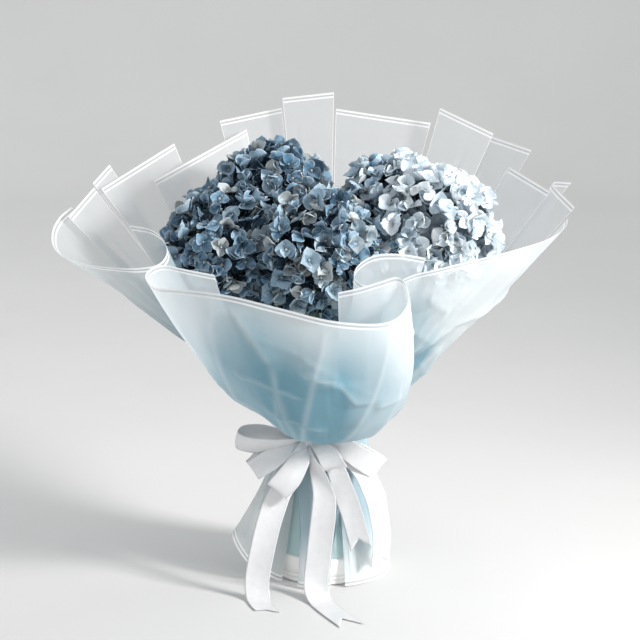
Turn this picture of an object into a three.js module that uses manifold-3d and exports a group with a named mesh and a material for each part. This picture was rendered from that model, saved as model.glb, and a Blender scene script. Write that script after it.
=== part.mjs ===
// A wrapped bouquet of hydrangeas standing in a vase, in millimetres.
// X runs to the right, Y away from the front and Z up. The origin is the middle of the vase's underside.
import * as THREE from 'three';
import * as BufferGeometryUtils from 'three/addons/utils/BufferGeometryUtils.js';
import Module from 'manifold-3d';

const wasm = await Module();
wasm.setup();

// ---- driving dimensions ----
const CLEARANCE = 0.3; // between pieces that touch
const FILM_THICKNESS = 0.8;
const RIBBON_WIDTH = 25;
const RIBBON_THICKNESS = 1.0;

const FOOT_RADIUS = 54;
const FOOT_HEIGHT = 27;
const NECK_RADIUS = 34;
const VASE_HEIGHT = 161;
const VASE_WALL = 3;
const VASE_FLOOR = 4;
const VASE_LOWER = [43.5, 66]; // radius and height of the taper above the foot
const VASE_UPPER = [38, 103];
const NECK_START = 132;
const VASE_SIDES = 24;
const WATER_LEVEL = 108;

const TIE_BOTTOM = 151.5; // the tied waist, where every sheet of film is gathered
const TIE_TOP = 161;
const HEM_GAP = 2; // the lowest hem above the surface

// Radius of each layer of film at the waist, from the inside out.
const LAYER = {
  inner: 36.2,
  backA: 37.5,
  backB: 38.8,
  backC: 40.1,
  sideFold: 39.4,
  side: 41.8,
  frontFold: 44.2,
  front: 46.4,
};
const BAND_RADIUS = 47.8;

const STEM_RADIUS = 3.6;
const STEM_SIDES = 8;
const STEM_STEPS = 10;

// ---- materials ----
const material = (color, roughness) => new THREE.MeshStandardMaterial({ color, roughness, metalness: 0 });
const FILM = material('#cfe3ea', 0.35);
const INNER_FILM = material('#5a93ad', 0.4);
const SATIN = material('#f4f3f5', 0.4);
const GLAZE = material('#eeece6', 0.3);
const SEPAL = material('#7f9fc4', 0.7);
const PALE_SEPAL = material('#b9cbdf', 0.7);
const STEM = material('#6f8a4f', 0.6);
const WATER = material('#d5e6e8', 0.05);

const bouquet = new THREE.Group();

function addMesh(name, geometry, finish) {
  const mesh = new THREE.Mesh(geometry, finish);
  mesh.name = name;
  bouquet.add(mesh);
}

// ---- solids ----
function toSolid(geometry) {
  const bare = geometry.clone();
  bare.deleteAttribute('normal');
  bare.deleteAttribute('uv');
  const merged = BufferGeometryUtils.mergeVertices(bare, 1e-4);
  const vertProperties = new Float32Array(merged.attributes.position.array);
  const triVerts = new Uint32Array(merged.index.array);
  return new wasm.Manifold(new wasm.Mesh({ numProp: 3, vertProperties, triVerts }));
}

function toGeometry(solid) {
  const mesh = solid.getMesh();
  const geometry = new THREE.BufferGeometry();
  geometry.setAttribute('position', new THREE.BufferAttribute(mesh.vertProperties, 3));
  geometry.setIndex(new THREE.BufferAttribute(mesh.triVerts, 1));
  geometry.computeVertexNormals();
  return geometry;
}

function largestPiece(solid) {
  return solid.decompose().reduce((a, b) => (a.volume() > b.volume() ? a : b));
}

// A closed shell round a grid of points: both faces are split into triangles alike.
function shell(grid, thickness, closed = false) {
  const columns = grid.length;
  const rows = grid[0].length;
  const wrap = (i) => (closed ? (i + columns) % columns : Math.min(Math.max(i, 0), columns - 1));
  const along = new THREE.Vector3();
  const across = new THREE.Vector3();
  const faces = [[], []];
  for (let i = 0; i < columns; i += 1) {
    for (let j = 0; j < rows; j += 1) {
      along.subVectors(grid[wrap(i + 1)][j], grid[wrap(i - 1)][j]);
      across.subVectors(grid[i][Math.min(j + 1, rows - 1)], grid[i][Math.max(j - 1, 0)]);
      const normal = along.clone().cross(across).normalize();
      faces[0].push(grid[i][j].clone().addScaledVector(normal, thickness / 2));
      faces[1].push(grid[i][j].clone().addScaledVector(normal, -thickness / 2));
    }
  }
  const half = columns * rows;
  const at = (side, i, j) => side * half + wrap(i) * rows + j;
  const index = [];
  const quad = (a, b, c, d) => index.push(a, b, c, a, c, d);
  const spans = closed ? columns : columns - 1;
  for (let i = 0; i < spans; i += 1) {
    for (let j = 0; j < rows - 1; j += 1) {
      quad(at(0, i, j), at(0, i + 1, j), at(0, i + 1, j + 1), at(0, i, j + 1));
      index.push(at(1, i, j), at(1, i + 1, j + 1), at(1, i + 1, j));
      index.push(at(1, i, j), at(1, i, j + 1), at(1, i + 1, j + 1));
    }
    quad(at(0, i, 0), at(1, i, 0), at(1, i + 1, 0), at(0, i + 1, 0));
    quad(at(0, i, rows - 1), at(0, i + 1, rows - 1), at(1, i + 1, rows - 1), at(1, i, rows - 1));
  }
  if (!closed) {
    const end = columns - 1;
    for (let j = 0; j < rows - 1; j += 1) {
      quad(at(0, 0, j), at(0, 0, j + 1), at(1, 0, j + 1), at(1, 0, j));
      quad(at(0, end, j), at(1, end, j), at(1, end, j + 1), at(0, end, j + 1));
    }
  }
  const positions = new Float32Array(faces.flat().flatMap((p) => [p.x, p.y, p.z]));
  const geometry = new THREE.BufferGeometry();
  geometry.setAttribute('position', new THREE.BufferAttribute(positions, 3));
  geometry.setIndex(index);
  geometry.computeVertexNormals();
  return geometry;
}

// A point at an angle round the vase: 0 is the front, 90 the right and -90 the left.
function polar(degrees, radius, z) {
  const angle = THREE.MathUtils.degToRad(degrees);
  return new THREE.Vector3(radius * Math.sin(angle), -radius * Math.cos(angle), z);
}

// ---- the film sheets ----
// A sheet is a row of ribs. Each rib runs from the hem, up the tied waist, to the rim:
// rim [x, y, z], waist [degrees, radius], hem [degrees, radius, z], how far it bellies out,
// and a push [x, y, z] on its middle where a fold swings sideways.
const RIB_STEPS = 5; // from the waist to the rim
const SKIRT_STEPS = 3;
const TIE_TURN = 0.2; // the share of a rib's turn, from rim to hem, made inside the tie
const SKIRT_CURL = 0.35; // how much of the skirt's flare comes late, near its hem

function filmGrid(ribs, stepsPerRib) {
  const smooth = (points) => new THREE.CatmullRomCurve3(points, false, 'catmullrom', 0.5);
  const rims = smooth(ribs.map((rib) => new THREE.Vector3(...rib.rim)));
  const waists = smooth(ribs.map((rib) => new THREE.Vector3(rib.waist[0], rib.waist[1], rib.belly)));
  const hems = smooth(ribs.map((rib) => new THREE.Vector3(...rib.hem)));
  const pushes = smooth(ribs.map((rib) => new THREE.Vector3(...rib.push)));
  const columns = (ribs.length - 1) * stepsPerRib;
  const grid = [];
  for (let i = 0; i <= columns; i += 1) {
    const u = i / columns;
    grid.push(ribPoints(rims.getPoint(u), waists.getPoint(u), hems.getPoint(u), pushes.getPoint(u)));
  }
  return grid;
}

function ribPoints(rim, waist, hem, push) {
  const points = [];
  const tieDegrees = THREE.MathUtils.lerp(waist.x, hem.x, TIE_TURN);
  for (let k = SKIRT_STEPS; k >= 1; k -= 1) {
    const t = k / SKIRT_STEPS;
    const turn = 1 - (1 - t) ** 2;
    const degrees = THREE.MathUtils.lerp(tieDegrees, hem.x, turn);
    const radius = THREE.MathUtils.lerp(waist.y, hem.y, t * (1 - SKIRT_CURL * (1 - t)));
    points.push(polar(degrees, radius, THREE.MathUtils.lerp(TIE_BOTTOM, hem.z, t)));
  }
  points.push(polar(tieDegrees, waist.y, TIE_BOTTOM));
  const top = polar(waist.x, waist.y, TIE_TOP);
  const run = rim.clone().sub(top);
  const reach = Math.hypot(run.x, run.y);
  const out = new THREE.Vector3((run.x / reach) * run.z, (run.y / reach) * run.z, -reach).normalize();
  const control = top.clone().lerp(rim, 0.5).addScaledVector(out, waist.z * 2).add(push);
  const curve = new THREE.QuadraticBezierCurve3(top, control, rim);
  for (let k = 0; k <= RIB_STEPS; k += 1) points.push(curve.getPoint(k / RIB_STEPS));
  return points;
}

const rib = (rim, waist, hem, belly, push = [0, 0, 0]) => ({ rim, waist, hem, belly, push });
const { sideFold, side, frontFold, front } = LAYER;

const frontRibs = [
  rib([-105, -96, 330], [-40, frontFold], [-18, 65.6, 6], 10, [0, 0, -6]),
  rib([-130, -101, 336], [-43, frontFold], [-20, 65.6, 6], 10, [0, 0, -6]),
  rib([-152, -104, 341], [-46, frontFold + 0.1], [-22, 65.8, 5], 10, [0, 0, -6]),
  rib([-165, -110, 338], [-49, frontFold + 0.6], [-24, 66.4, 4], 11, [0, 0, -6]),
  rib([-168, -118, 331], [-49.5, front - 0.6], [-24, 67.4, 3], 12.5, [0, 0, -8]),
  rib([-158, -127, 325], [-47, front], [-22.5, 67.9, HEM_GAP], 14.5, [0, 0, -10]),
  rib([-134, -136, 325], [-41, front], [-20, 68, HEM_GAP], 18, [0, 0, -14]),
  rib([-91, -146, 322], [-28, front], [-16, 68, HEM_GAP], 24, [0, 0, -20]),
  rib([-41, -152, 311], [-12, front], [-10, 68, HEM_GAP], 30, [0, 4, -26]),
  rib([-1, -154, 301], [2, front], [-5, 68, HEM_GAP], 33, [0, 6, -28]),
  rib([32, -150, 296], [18, front], [-1, 68, HEM_GAP], 33, [4, 6, -28]),
  rib([55, -142, 295], [33, front], [2, 68, HEM_GAP], 31, [12, 4, -24]),
  rib([70, -132, 300], [47, front], [3, 67.9, HEM_GAP], 27, [19, 0, -20]),
  rib([78, -122, 312], [56, front - 0.5], [4.5, 67.5, 3], 21, [24, 0, -20]),
  rib([76, -114, 325], [57, frontFold + 0.6], [4.5, 66.4, 4], 19, [23, 0, -18]),
  rib([67, -110.5, 331], [54, frontFold + 0.1], [3, 65.8, 5], 19, [18, 0, -14]),
  rib([52, -111, 327], [48, frontFold], [1, 65.6, 6], 18, [12, 0, -8]),
  rib([32, -112, 321], [41, frontFold], [-1, 65.6, 6], 17, [6, 0, -6]),
  rib([12, -113, 317], [34, frontFold], [-3, 65.6, 6], 16, [0, 0, -6]),
];

const leftRibs = [
  rib([-189, -52, 369], [-60, sideFold], [-62, 66, 16], 10),
  rib([-168, -57, 366], [-54, sideFold], [-58, 64, 10], 11),
  rib([-155, -66, 358], [-45, sideFold], [-52, 62, 6], 12),
  rib([-151, -77, 347], [-35, sideFold + 0.7], [-46, 61.5, 4], 13),
  rib([-158, -84, 338], [-33, side - 0.7], [-44, 62.5, HEM_GAP], 10),
  rib([-172, -87, 335], [-42, side], [-48, 65, HEM_GAP], 7),
  rib([-195, -87, 334], [-54, side], [-54, 72, 7], 4.5),
  rib([-224, -78, 335], [-66, side], [-62, 86, 17], 1),
  rib([-250, -60, 338], [-77, side], [-68, 96, 34], -1),
  rib([-264, -38, 345], [-87, side], [-74, 98, 46], -1),
  rib([-268, -14, 355], [-96, side], [-86, 88, 36], 1),
  rib([-264, 10, 364], [-104, side], [-104, 77, 18], 3),
  rib([-254, 32, 371], [-111, side], [-122, 71, 6], 5),
];

const rightRibs = [
  rib([96, -76, 342], [44, sideFold], [50, 61.5, 6], 6),
  rib([71, -81, 347], [34, sideFold], [40, 61.5, 6], 6),
  rib([48, -86, 347], [24, sideFold], [29, 61.5, 5], 8),
  rib([33, -91, 340], [16, sideFold + 0.2], [22, 61.7, 4], 9),
  rib([27, -97, 331], [12.5, sideFold + 1.2], [19, 62.5, 3], 10),
  rib([32, -101.5, 324], [14, side - 0.3], [19, 63.4, HEM_GAP], 10),
  rib([46, -103, 320], [21, side], [24, 63.8, HEM_GAP], 10),
  rib([64, -104, 323], [30, side], [33, 64.2, HEM_GAP], 9),
  rib([83, -105, 332], [39, side], [45, 65, HEM_GAP], 7),
  rib([108, -104, 338], [48, side], [56, 66, HEM_GAP], 8),
  rib([142, -92, 344], [60, side], [68, 67, HEM_GAP], 10),
  rib([182, -70, 349], [72, side], [80, 68, HEM_GAP], 8),
  rib([213, -42, 352], [82, side], [92, 68, HEM_GAP], 6),
  rib([235, -14, 358], [90, side], [104, 68, HEM_GAP], 5),
  rib([240, -2, 366], [94, side], [116, 67, HEM_GAP], 4.5),
];

addMesh('film_front', shell(filmGrid(frontRibs, 2), FILM_THICKNESS), FILM);
addMesh('film_left', shell(filmGrid(leftRibs, 2), FILM_THICKNESS), FILM);
addMesh('film_right', shell(filmGrid(rightRibs, 2), FILM_THICKNESS), FILM);

// The stiff folded sheets that stand up behind the blooms, from the left round to the right:
// the two ends of each rim, the layer it lies in, and the angles it spans at the waist.
const { backA, backB, backC } = LAYER;
const backSheets = [
  { rims: [[-254, 5, 366], [-234, 58, 386]], layer: backB, waist: [-90, -103] },
  { rims: [[-236, 66, 389], [-221, 90, 404]], layer: backC, waist: [-104, -112] },
  { rims: [[-227, 62, 384], [-158, 140, 418]], layer: backB, waist: [-105, -131] },
  { rims: [[-176, 92, 387], [-83, 172, 428]], layer: backA, waist: [-118, -155] },
  { rims: [[-112, 180, 436], [-46, 194, 448]], layer: backB, waist: [-147, -167] },
  { rims: [[-45, 184, 460], [10, 184, 466]], layer: backA, waist: [-166, -184] },
  { rims: [[12, 194, 447], [113, 178, 434]], layer: backB, waist: [-184, -212] },
  { rims: [[122, 164, 452], [176, 130, 430]], layer: backA, waist: [-215, -233] },
  { rims: [[175, 142, 425], [213, 102, 417]], layer: backB, waist: [-232, -245] },
  { rims: [[189, 96, 401], [227, 44, 384]], layer: backA, waist: [-242, -257] },
  { rims: [[248, 46, 393], [231, 56, 390], [248, 12, 374]], layer: backB, waist: [-251.5, -256.5, -266] },
];
const BACK_BELLY = 5;
const BACK_STEPS = 3;
const BACK_HEM_OUT = 23.6; // the hem's radius beyond its layer's at the waist
const BACK_HEM_Z = 5;

backSheets.forEach(({ rims, layer, waist }, n) => {
  const hem = (degrees) => [degrees, layer + BACK_HEM_OUT, BACK_HEM_Z];
  const ribs = rims.map((rim, k) => rib(rim, [waist[k], layer], hem(waist[k]), BACK_BELLY));
  addMesh(`film_back_${n + 1}`, shell(filmGrid(ribs, BACK_STEPS), FILM_THICKNESS), FILM);
});

// The deep blue inner sheet: a closed cone round the vase and under the blooms.
const INNER_RIM_Z = 276;
const INNER_SPANS = 24;
const INNER_BELLY = 3;
const INNER_FOOT = [FOOT_RADIUS - 1, FOOT_HEIGHT + 1.5]; // radius and height of its hem, on the vase's ledge
const innerOutline = [
  // angle, reach at the rim
  [0, 75], [25, 64], [50, 66], [75, 98], [100, 117], [130, 96], [150, 84],
  [200, 84], [225, 96], [250, 110], [275, 125], [300, 103], [315, 92], [345, 86],
];

function innerReach(degrees) {
  const ring = innerOutline.concat([[360, innerOutline[0][1]]]);
  const next = ring.findIndex(([angle]) => angle > degrees);
  const [a0, r0] = ring[next - 1];
  const [a1, r1] = ring[next];
  return THREE.MathUtils.lerp(r0, r1, THREE.MathUtils.smoothstep(degrees, a0, a1));
}

const innerGrid = [];
for (let i = 0; i < INNER_SPANS; i += 1) {
  const degrees = (i * 360) / INNER_SPANS;
  const rim = polar(degrees, innerReach(degrees), INNER_RIM_Z);
  const waist = new THREE.Vector3(degrees, LAYER.inner, INNER_BELLY);
  innerGrid.push(ribPoints(rim, waist, new THREE.Vector3(degrees, ...INNER_FOOT), new THREE.Vector3()));
}
addMesh('inner_wrap', shell(innerGrid, FILM_THICKNESS, true), INNER_FILM);

// ---- the vase and its water ----
const FOOT_GROOVE = 1.2;
const LEDGE = 5; // how far the taper stands in from the foot
// Both profiles are points of radius and height, going up.
const vaseOuter = [
  [FOOT_RADIUS - 2, 0],
  [FOOT_RADIUS, 2],
  [FOOT_RADIUS, 4],
  [FOOT_RADIUS - FOOT_GROOVE, 5],
  [FOOT_RADIUS, 6],
  [FOOT_RADIUS, FOOT_HEIGHT - 1],
  [FOOT_RADIUS - 1, FOOT_HEIGHT],
  [FOOT_RADIUS - LEDGE, FOOT_HEIGHT + 2],
  VASE_LOWER,
  VASE_UPPER,
  [NECK_RADIUS, NECK_START],
  [NECK_RADIUS, VASE_HEIGHT - 5],
  [NECK_RADIUS + 0.8, VASE_HEIGHT - 2],
  [NECK_RADIUS - 0.5, VASE_HEIGHT],
];
const within = ([radius, z]) => [radius - VASE_WALL, z];
const vaseInner = [
  [0, VASE_FLOOR],
  [FOOT_RADIUS - 9, VASE_FLOOR],
  [FOOT_RADIUS - 6, VASE_FLOOR + 4],
  within([FOOT_RADIUS - LEDGE, FOOT_HEIGHT + 2]),
  within(VASE_LOWER),
  within(VASE_UPPER),
  within([NECK_RADIUS, NECK_START]),
  within([NECK_RADIUS, VASE_HEIGHT]),
];
const profile = (points) => points.map(([r, z]) => new THREE.Vector2(r, z));

function lathe(points, sides) {
  const geometry = new THREE.LatheGeometry(profile(points), sides);
  geometry.rotateX(Math.PI / 2);
  return geometry;
}

const vaseLoop = [[0, 0], ...vaseOuter, ...vaseInner.slice().reverse()];
addMesh('vase', toGeometry(toSolid(lathe(vaseLoop, VASE_SIDES))), GLAZE);

// ---- the stems ----
// Each head: its middle, its radius, the reach of its underside, and the seed of its florets.
const heads = [
  { name: 'bloom_back_left', middle: [-54, 45, 370], radius: 59, under: 0.8, seed: 11, finish: SEPAL },
  { name: 'bloom_right', middle: [104, 8, 348], radius: 64, under: 0.85, seed: 23, finish: PALE_SEPAL },
  { name: 'bloom_front_left', middle: [-94, -13, 340], radius: 58, under: 0.92, seed: 37, finish: SEPAL },
  { name: 'bloom_front', middle: [-11, -28, 334], radius: 65, under: 0.95, seed: 41, finish: SEPAL },
  { name: 'bloom_back_right', middle: [73, 55.5, 355], radius: 60, under: 0.7, seed: 59, finish: PALE_SEPAL },
];
const CORE_SHARE = 0.74; // the core's radius, as a share of its head's

const STEM_SEAT = 8; // how far a stem runs up into its head
const STEM_FOOT = 26; // a stem's reach from the vase's middle at its cut end
const STEM_MIDDLE = [20, 90]; // its reach and height part of the way up
const STEM_NECK = [18, 158]; // and in the vase's neck
const STEM_BEND = [0.62, 0.6]; // above the neck: shares of the head's reach and of the height left

function stemCurve(head, extra) {
  const [x, y, z] = head.middle;
  const reach = Math.hypot(x, y);
  const spot = (radius, height) => new THREE.Vector3((x / reach) * radius, (y / reach) * radius, height);
  const top = z - head.radius * CORE_SHARE * head.under + STEM_SEAT;
  return new THREE.CatmullRomCurve3([
    spot(STEM_FOOT, VASE_FLOOR + CLEARANCE - extra),
    spot(...STEM_MIDDLE),
    spot(...STEM_NECK),
    spot(reach * STEM_BEND[0], THREE.MathUtils.lerp(STEM_NECK[1], top, STEM_BEND[1])),
    spot(reach, top + extra),
  ]);
}

function stemTube(head, radius, extra = 0) {
  const section = new THREE.Shape();
  for (let k = 0; k < STEM_SIDES; k += 1) {
    const angle = (k * 2 * Math.PI) / STEM_SIDES;
    const place = [radius * Math.cos(angle), radius * Math.sin(angle)];
    if (k === 0) section.moveTo(...place);
    else section.lineTo(...place);
  }
  const options = { steps: STEM_STEPS, extrudePath: stemCurve(head, extra), bevelEnabled: false };
  return new THREE.ExtrudeGeometry(section, options);
}

heads.forEach((head, n) => addMesh(`stem_${n + 1}`, toGeometry(toSolid(stemTube(head, STEM_RADIUS))), STEM));

const waterProfile = vaseInner
  .filter(([, z]) => z < WATER_LEVEL)
  .map(([r, z], k) => [Math.max(r - CLEARANCE, 0), z + (k < 2 ? CLEARANCE : 0)]);
const waterShare = (WATER_LEVEL - VASE_UPPER[1]) / (NECK_START - VASE_UPPER[1]);
const surfaceRadius = THREE.MathUtils.lerp(VASE_UPPER[0], NECK_RADIUS, waterShare) - VASE_WALL;
waterProfile.push([surfaceRadius - CLEARANCE, WATER_LEVEL], [0, WATER_LEVEL]);
const holes = heads.map((head) => toSolid(stemTube(head, STEM_RADIUS + CLEARANCE, CLEARANCE)));
const water = holes.reduce((body, hole) => body.subtract(hole), toSolid(lathe(waterProfile, VASE_SIDES)));
addMesh('water', toGeometry(largestPiece(water)), WATER);

// ---- the flower heads ----
const FLORET_SPAN = 41; // larger than life, so that few florets cover a head
const SEPAL_COUNT = 4;
const LOBE_POINTS = 3;
// Shares of a floret's radius.
const SEPAL_REACH = 1.008;
const SEPAL_LIFT = 0.16;
const CLEFT_REACH = 0.52; // where two sepals meet
const CLEFT_LIFT = 0.02;
const NECK_REACH = 0.2; // where the back of the floret narrows to its stalk
const NECK_DROP = 0.3;
const HEAD_GAP = 0.25; // half the gap where two heads press together

function randomFrom(seed) {
  let state = seed;
  return () => {
    state = (state * 16807) % 2147483647;
    return state / 2147483647;
  };
}

// One floret: four round sepals, cupped a little, whose back runs down to a pedicel sunk in the core.
function floret(radius, depth) {
  const positions = [0, 0, radius * CLEFT_LIFT];
  const rim = SEPAL_COUNT * LOBE_POINTS;
  for (let k = 0; k < rim; k += 1) {
    const angle = ((k - 0.5) * 2 * Math.PI) / rim;
    const cleft = k % LOBE_POINTS === 0;
    const reach = radius * (cleft ? CLEFT_REACH : SEPAL_REACH);
    const lift = radius * (cleft ? CLEFT_LIFT : SEPAL_LIFT);
    positions.push(reach * Math.cos(angle), reach * Math.sin(angle), lift);
  }
  const neck = SEPAL_COUNT;
  for (let k = 0; k < neck; k += 1) {
    const angle = ((k * LOBE_POINTS - 0.5) * 2 * Math.PI) / rim;
    const reach = radius * NECK_REACH;
    positions.push(reach * Math.cos(angle), reach * Math.sin(angle), -radius * NECK_DROP);
  }
  const root = 1 + rim + neck;
  positions.push(0, 0, -depth);
  const index = [];
  for (let k = 0; k < rim; k += 1) {
    const next = (k + 1) % rim;
    const under = 1 + rim + (Math.floor(k / LOBE_POINTS) % neck);
    index.push(0, 1 + k, 1 + next);
    index.push(1 + next, 1 + k, under);
  }
  for (let k = 0; k < neck; k += 1) {
    const next = (k + 1) % neck;
    const corner = 1 + ((k + 1) * LOBE_POINTS) % rim;
    index.push(corner, 1 + rim + k, 1 + rim + next);
    index.push(1 + rim + next, 1 + rim + k, root);
  }
  const geometry = new THREE.BufferGeometry();
  geometry.setAttribute('position', new THREE.BufferAttribute(new Float32Array(positions), 3));
  geometry.setIndex(index);
  return geometry;
}

// The head is round above its middle and flattened below it.
function headPoint(head, direction, share) {
  const drop = direction.z < 0 ? head.under : 1;
  const offset = new THREE.Vector3(direction.x, direction.y, direction.z * drop);
  return offset.multiplyScalar(head.radius * share).add(new THREE.Vector3(...head.middle));
}

// The plane in which two heads press against each other.
function pressPlane(head, other) {
  const from = new THREE.Vector3(...head.middle);
  const normal = new THREE.Vector3(...other.middle).sub(from);
  const apart = normal.length();
  normal.normalize();
  const reach = (apart * apart + head.radius ** 2 - other.radius ** 2) / (2 * apart);
  return { normal, offset: from.dot(normal) + reach - HEAD_GAP };
}

const LOWEST_FLORET = -0.62; // how far round the underside the florets reach
const FLORET_ROOM = 9; // a floret's middle stays this far from where two heads press together
const FLORET_COVER = 0.25; // the share of a floret's square that it adds to the cover
const STALK_DEPTH = 0.36; // how deep a floret's stalk runs, as a share of the head's radius
const CORE_SIDES = 14;
const CORE_RINGS = 9;

// Each of these is the least value and what chance adds to it.
const PLACE_SHARE = [0.93, 0.05]; // a floret's distance from the head's middle
const SIZE_SHARE = [0.92, 0.2];
const TURN_JITTER = 0.2;
const LEAN = 0.5; // how far a floret may lean off the head's surface

function bloom(head) {
  const random = randomFrom(head.seed);
  const others = heads.filter((other) => other !== head);
  const planes = others.map((other) => pressPlane(head, other));
  const core = new THREE.SphereGeometry(head.radius * CORE_SHARE, CORE_SIDES, CORE_RINGS);
  core.rotateX(Math.PI / 2);
  const corePlaces = core.attributes.position;
  const spot = new THREE.Vector3();
  for (let k = 0; k < corePlaces.count; k += 1) {
    spot.fromBufferAttribute(corePlaces, k);
    if (spot.z < 0) spot.z *= head.under;
    spot.add(new THREE.Vector3(...head.middle));
    corePlaces.setXYZ(k, spot.x, spot.y, spot.z);
  }
  const pieces = [toSolid(core)];
  const count = Math.round((4 * head.radius ** 2) / (FLORET_COVER * FLORET_SPAN ** 2));
  const golden = Math.PI * (3 - Math.sqrt(5));
  for (let k = 0; k < count; k += 1) {
    const z = 1 - (2 * (k + 0.5)) / count;
    const flat = Math.sqrt(1 - z * z);
    const angle = k * golden + random() * TURN_JITTER;
    const direction = new THREE.Vector3(flat * Math.cos(angle), flat * Math.sin(angle), z);
    const place = headPoint(head, direction, PLACE_SHARE[0] + PLACE_SHARE[1] * random());
    const lean = new THREE.Vector3(random() - 0.5, random() - 0.5, random() - 0.5);
    const spin = random() * Math.PI;
    const size = (FLORET_SPAN / 2) * (SIZE_SHARE[0] + SIZE_SHARE[1] * random());
    const crowded = planes.some(({ normal, offset }) => place.dot(normal) > offset - FLORET_ROOM);
    if (z < LOWEST_FLORET || crowded) continue;
    const facing = direction.clone().addScaledVector(lean, LEAN).normalize();
    const turn = new THREE.Quaternion().setFromUnitVectors(new THREE.Vector3(0, 0, 1), facing);
    turn.multiply(new THREE.Quaternion().setFromAxisAngle(new THREE.Vector3(0, 0, 1), spin));
    const flower = floret(size, head.radius * STALK_DEPTH);
    flower.applyMatrix4(new THREE.Matrix4().compose(place, turn, new THREE.Vector3(1, 1, 1)));
    pieces.push(toSolid(flower));
  }
  let solid = wasm.Manifold.union(pieces);
  planes.forEach(({ normal, offset }) => {
    solid = solid.trimByPlane([-normal.x, -normal.y, -normal.z], -offset);
  });
  solid = solid.subtract(toSolid(stemTube(head, STEM_RADIUS + CLEARANCE, CLEARANCE)));
  return toGeometry(largestPiece(solid));
}

heads.forEach((head) => addMesh(head.name, bloom(head), head.finish));

// ---- the ribbon: band, knot, loops and tails, tied from one length ----
// A stretch of ribbon: each point has its place, the way its width runs, and its width there.
const RIBBON_STEPS = 2;

function ribbon(points) {
  const curve = (pick) => new THREE.CatmullRomCurve3(points.map(pick), false, 'catmullrom', 0.5);
  const middles = curve(([place]) => new THREE.Vector3(...place));
  const ways = curve(([, way]) => new THREE.Vector3(...way));
  const widths = curve(([, , width = RIBBON_WIDTH]) => new THREE.Vector3(width, 0, 0));
  const grid = [];
  const spans = (points.length - 1) * RIBBON_STEPS;
  for (let i = 0; i <= spans; i += 1) {
    const u = i / spans;
    const middle = middles.getPoint(u);
    const half = ways.getPoint(u).normalize().multiplyScalar(widths.getPoint(u).x / 2);
    grid.push([middle.clone().sub(half), middle.clone().add(half)]);
  }
  return toSolid(shell(grid, RIBBON_THICKNESS));
}

const BAND_SPANS = 24;
const BAND_INSET = 1; // its edges stand in from the ends of the tied waist

function band() {
  const grid = [];
  for (let i = 0; i < BAND_SPANS; i += 1) {
    const degrees = (i * 360) / BAND_SPANS;
    const edge = (z) => polar(degrees, BAND_RADIUS, z);
    grid.push([edge(TIE_BOTTOM + BAND_INSET), edge(TIE_TOP - BAND_INSET)]);
  }
  return toSolid(shell(grid, RIBBON_THICKNESS, true));
}

const KNOT = [-16, -50.5, 149.5];
const KNOT_HALF = [6.5, 5.5, 7]; // half its width, depth and height
const KNOT_SIDES = 10;
const KNOT_RINGS = 7;
const knotShape = new THREE.SphereGeometry(1, KNOT_SIDES, KNOT_RINGS);
knotShape.rotateX(Math.PI / 2);
knotShape.scale(...KNOT_HALF);
knotShape.translate(...KNOT);
const knotSpot = (x, y, z) => [KNOT[0] + x, KNOT[1] + y, KNOT[2] + z];

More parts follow.
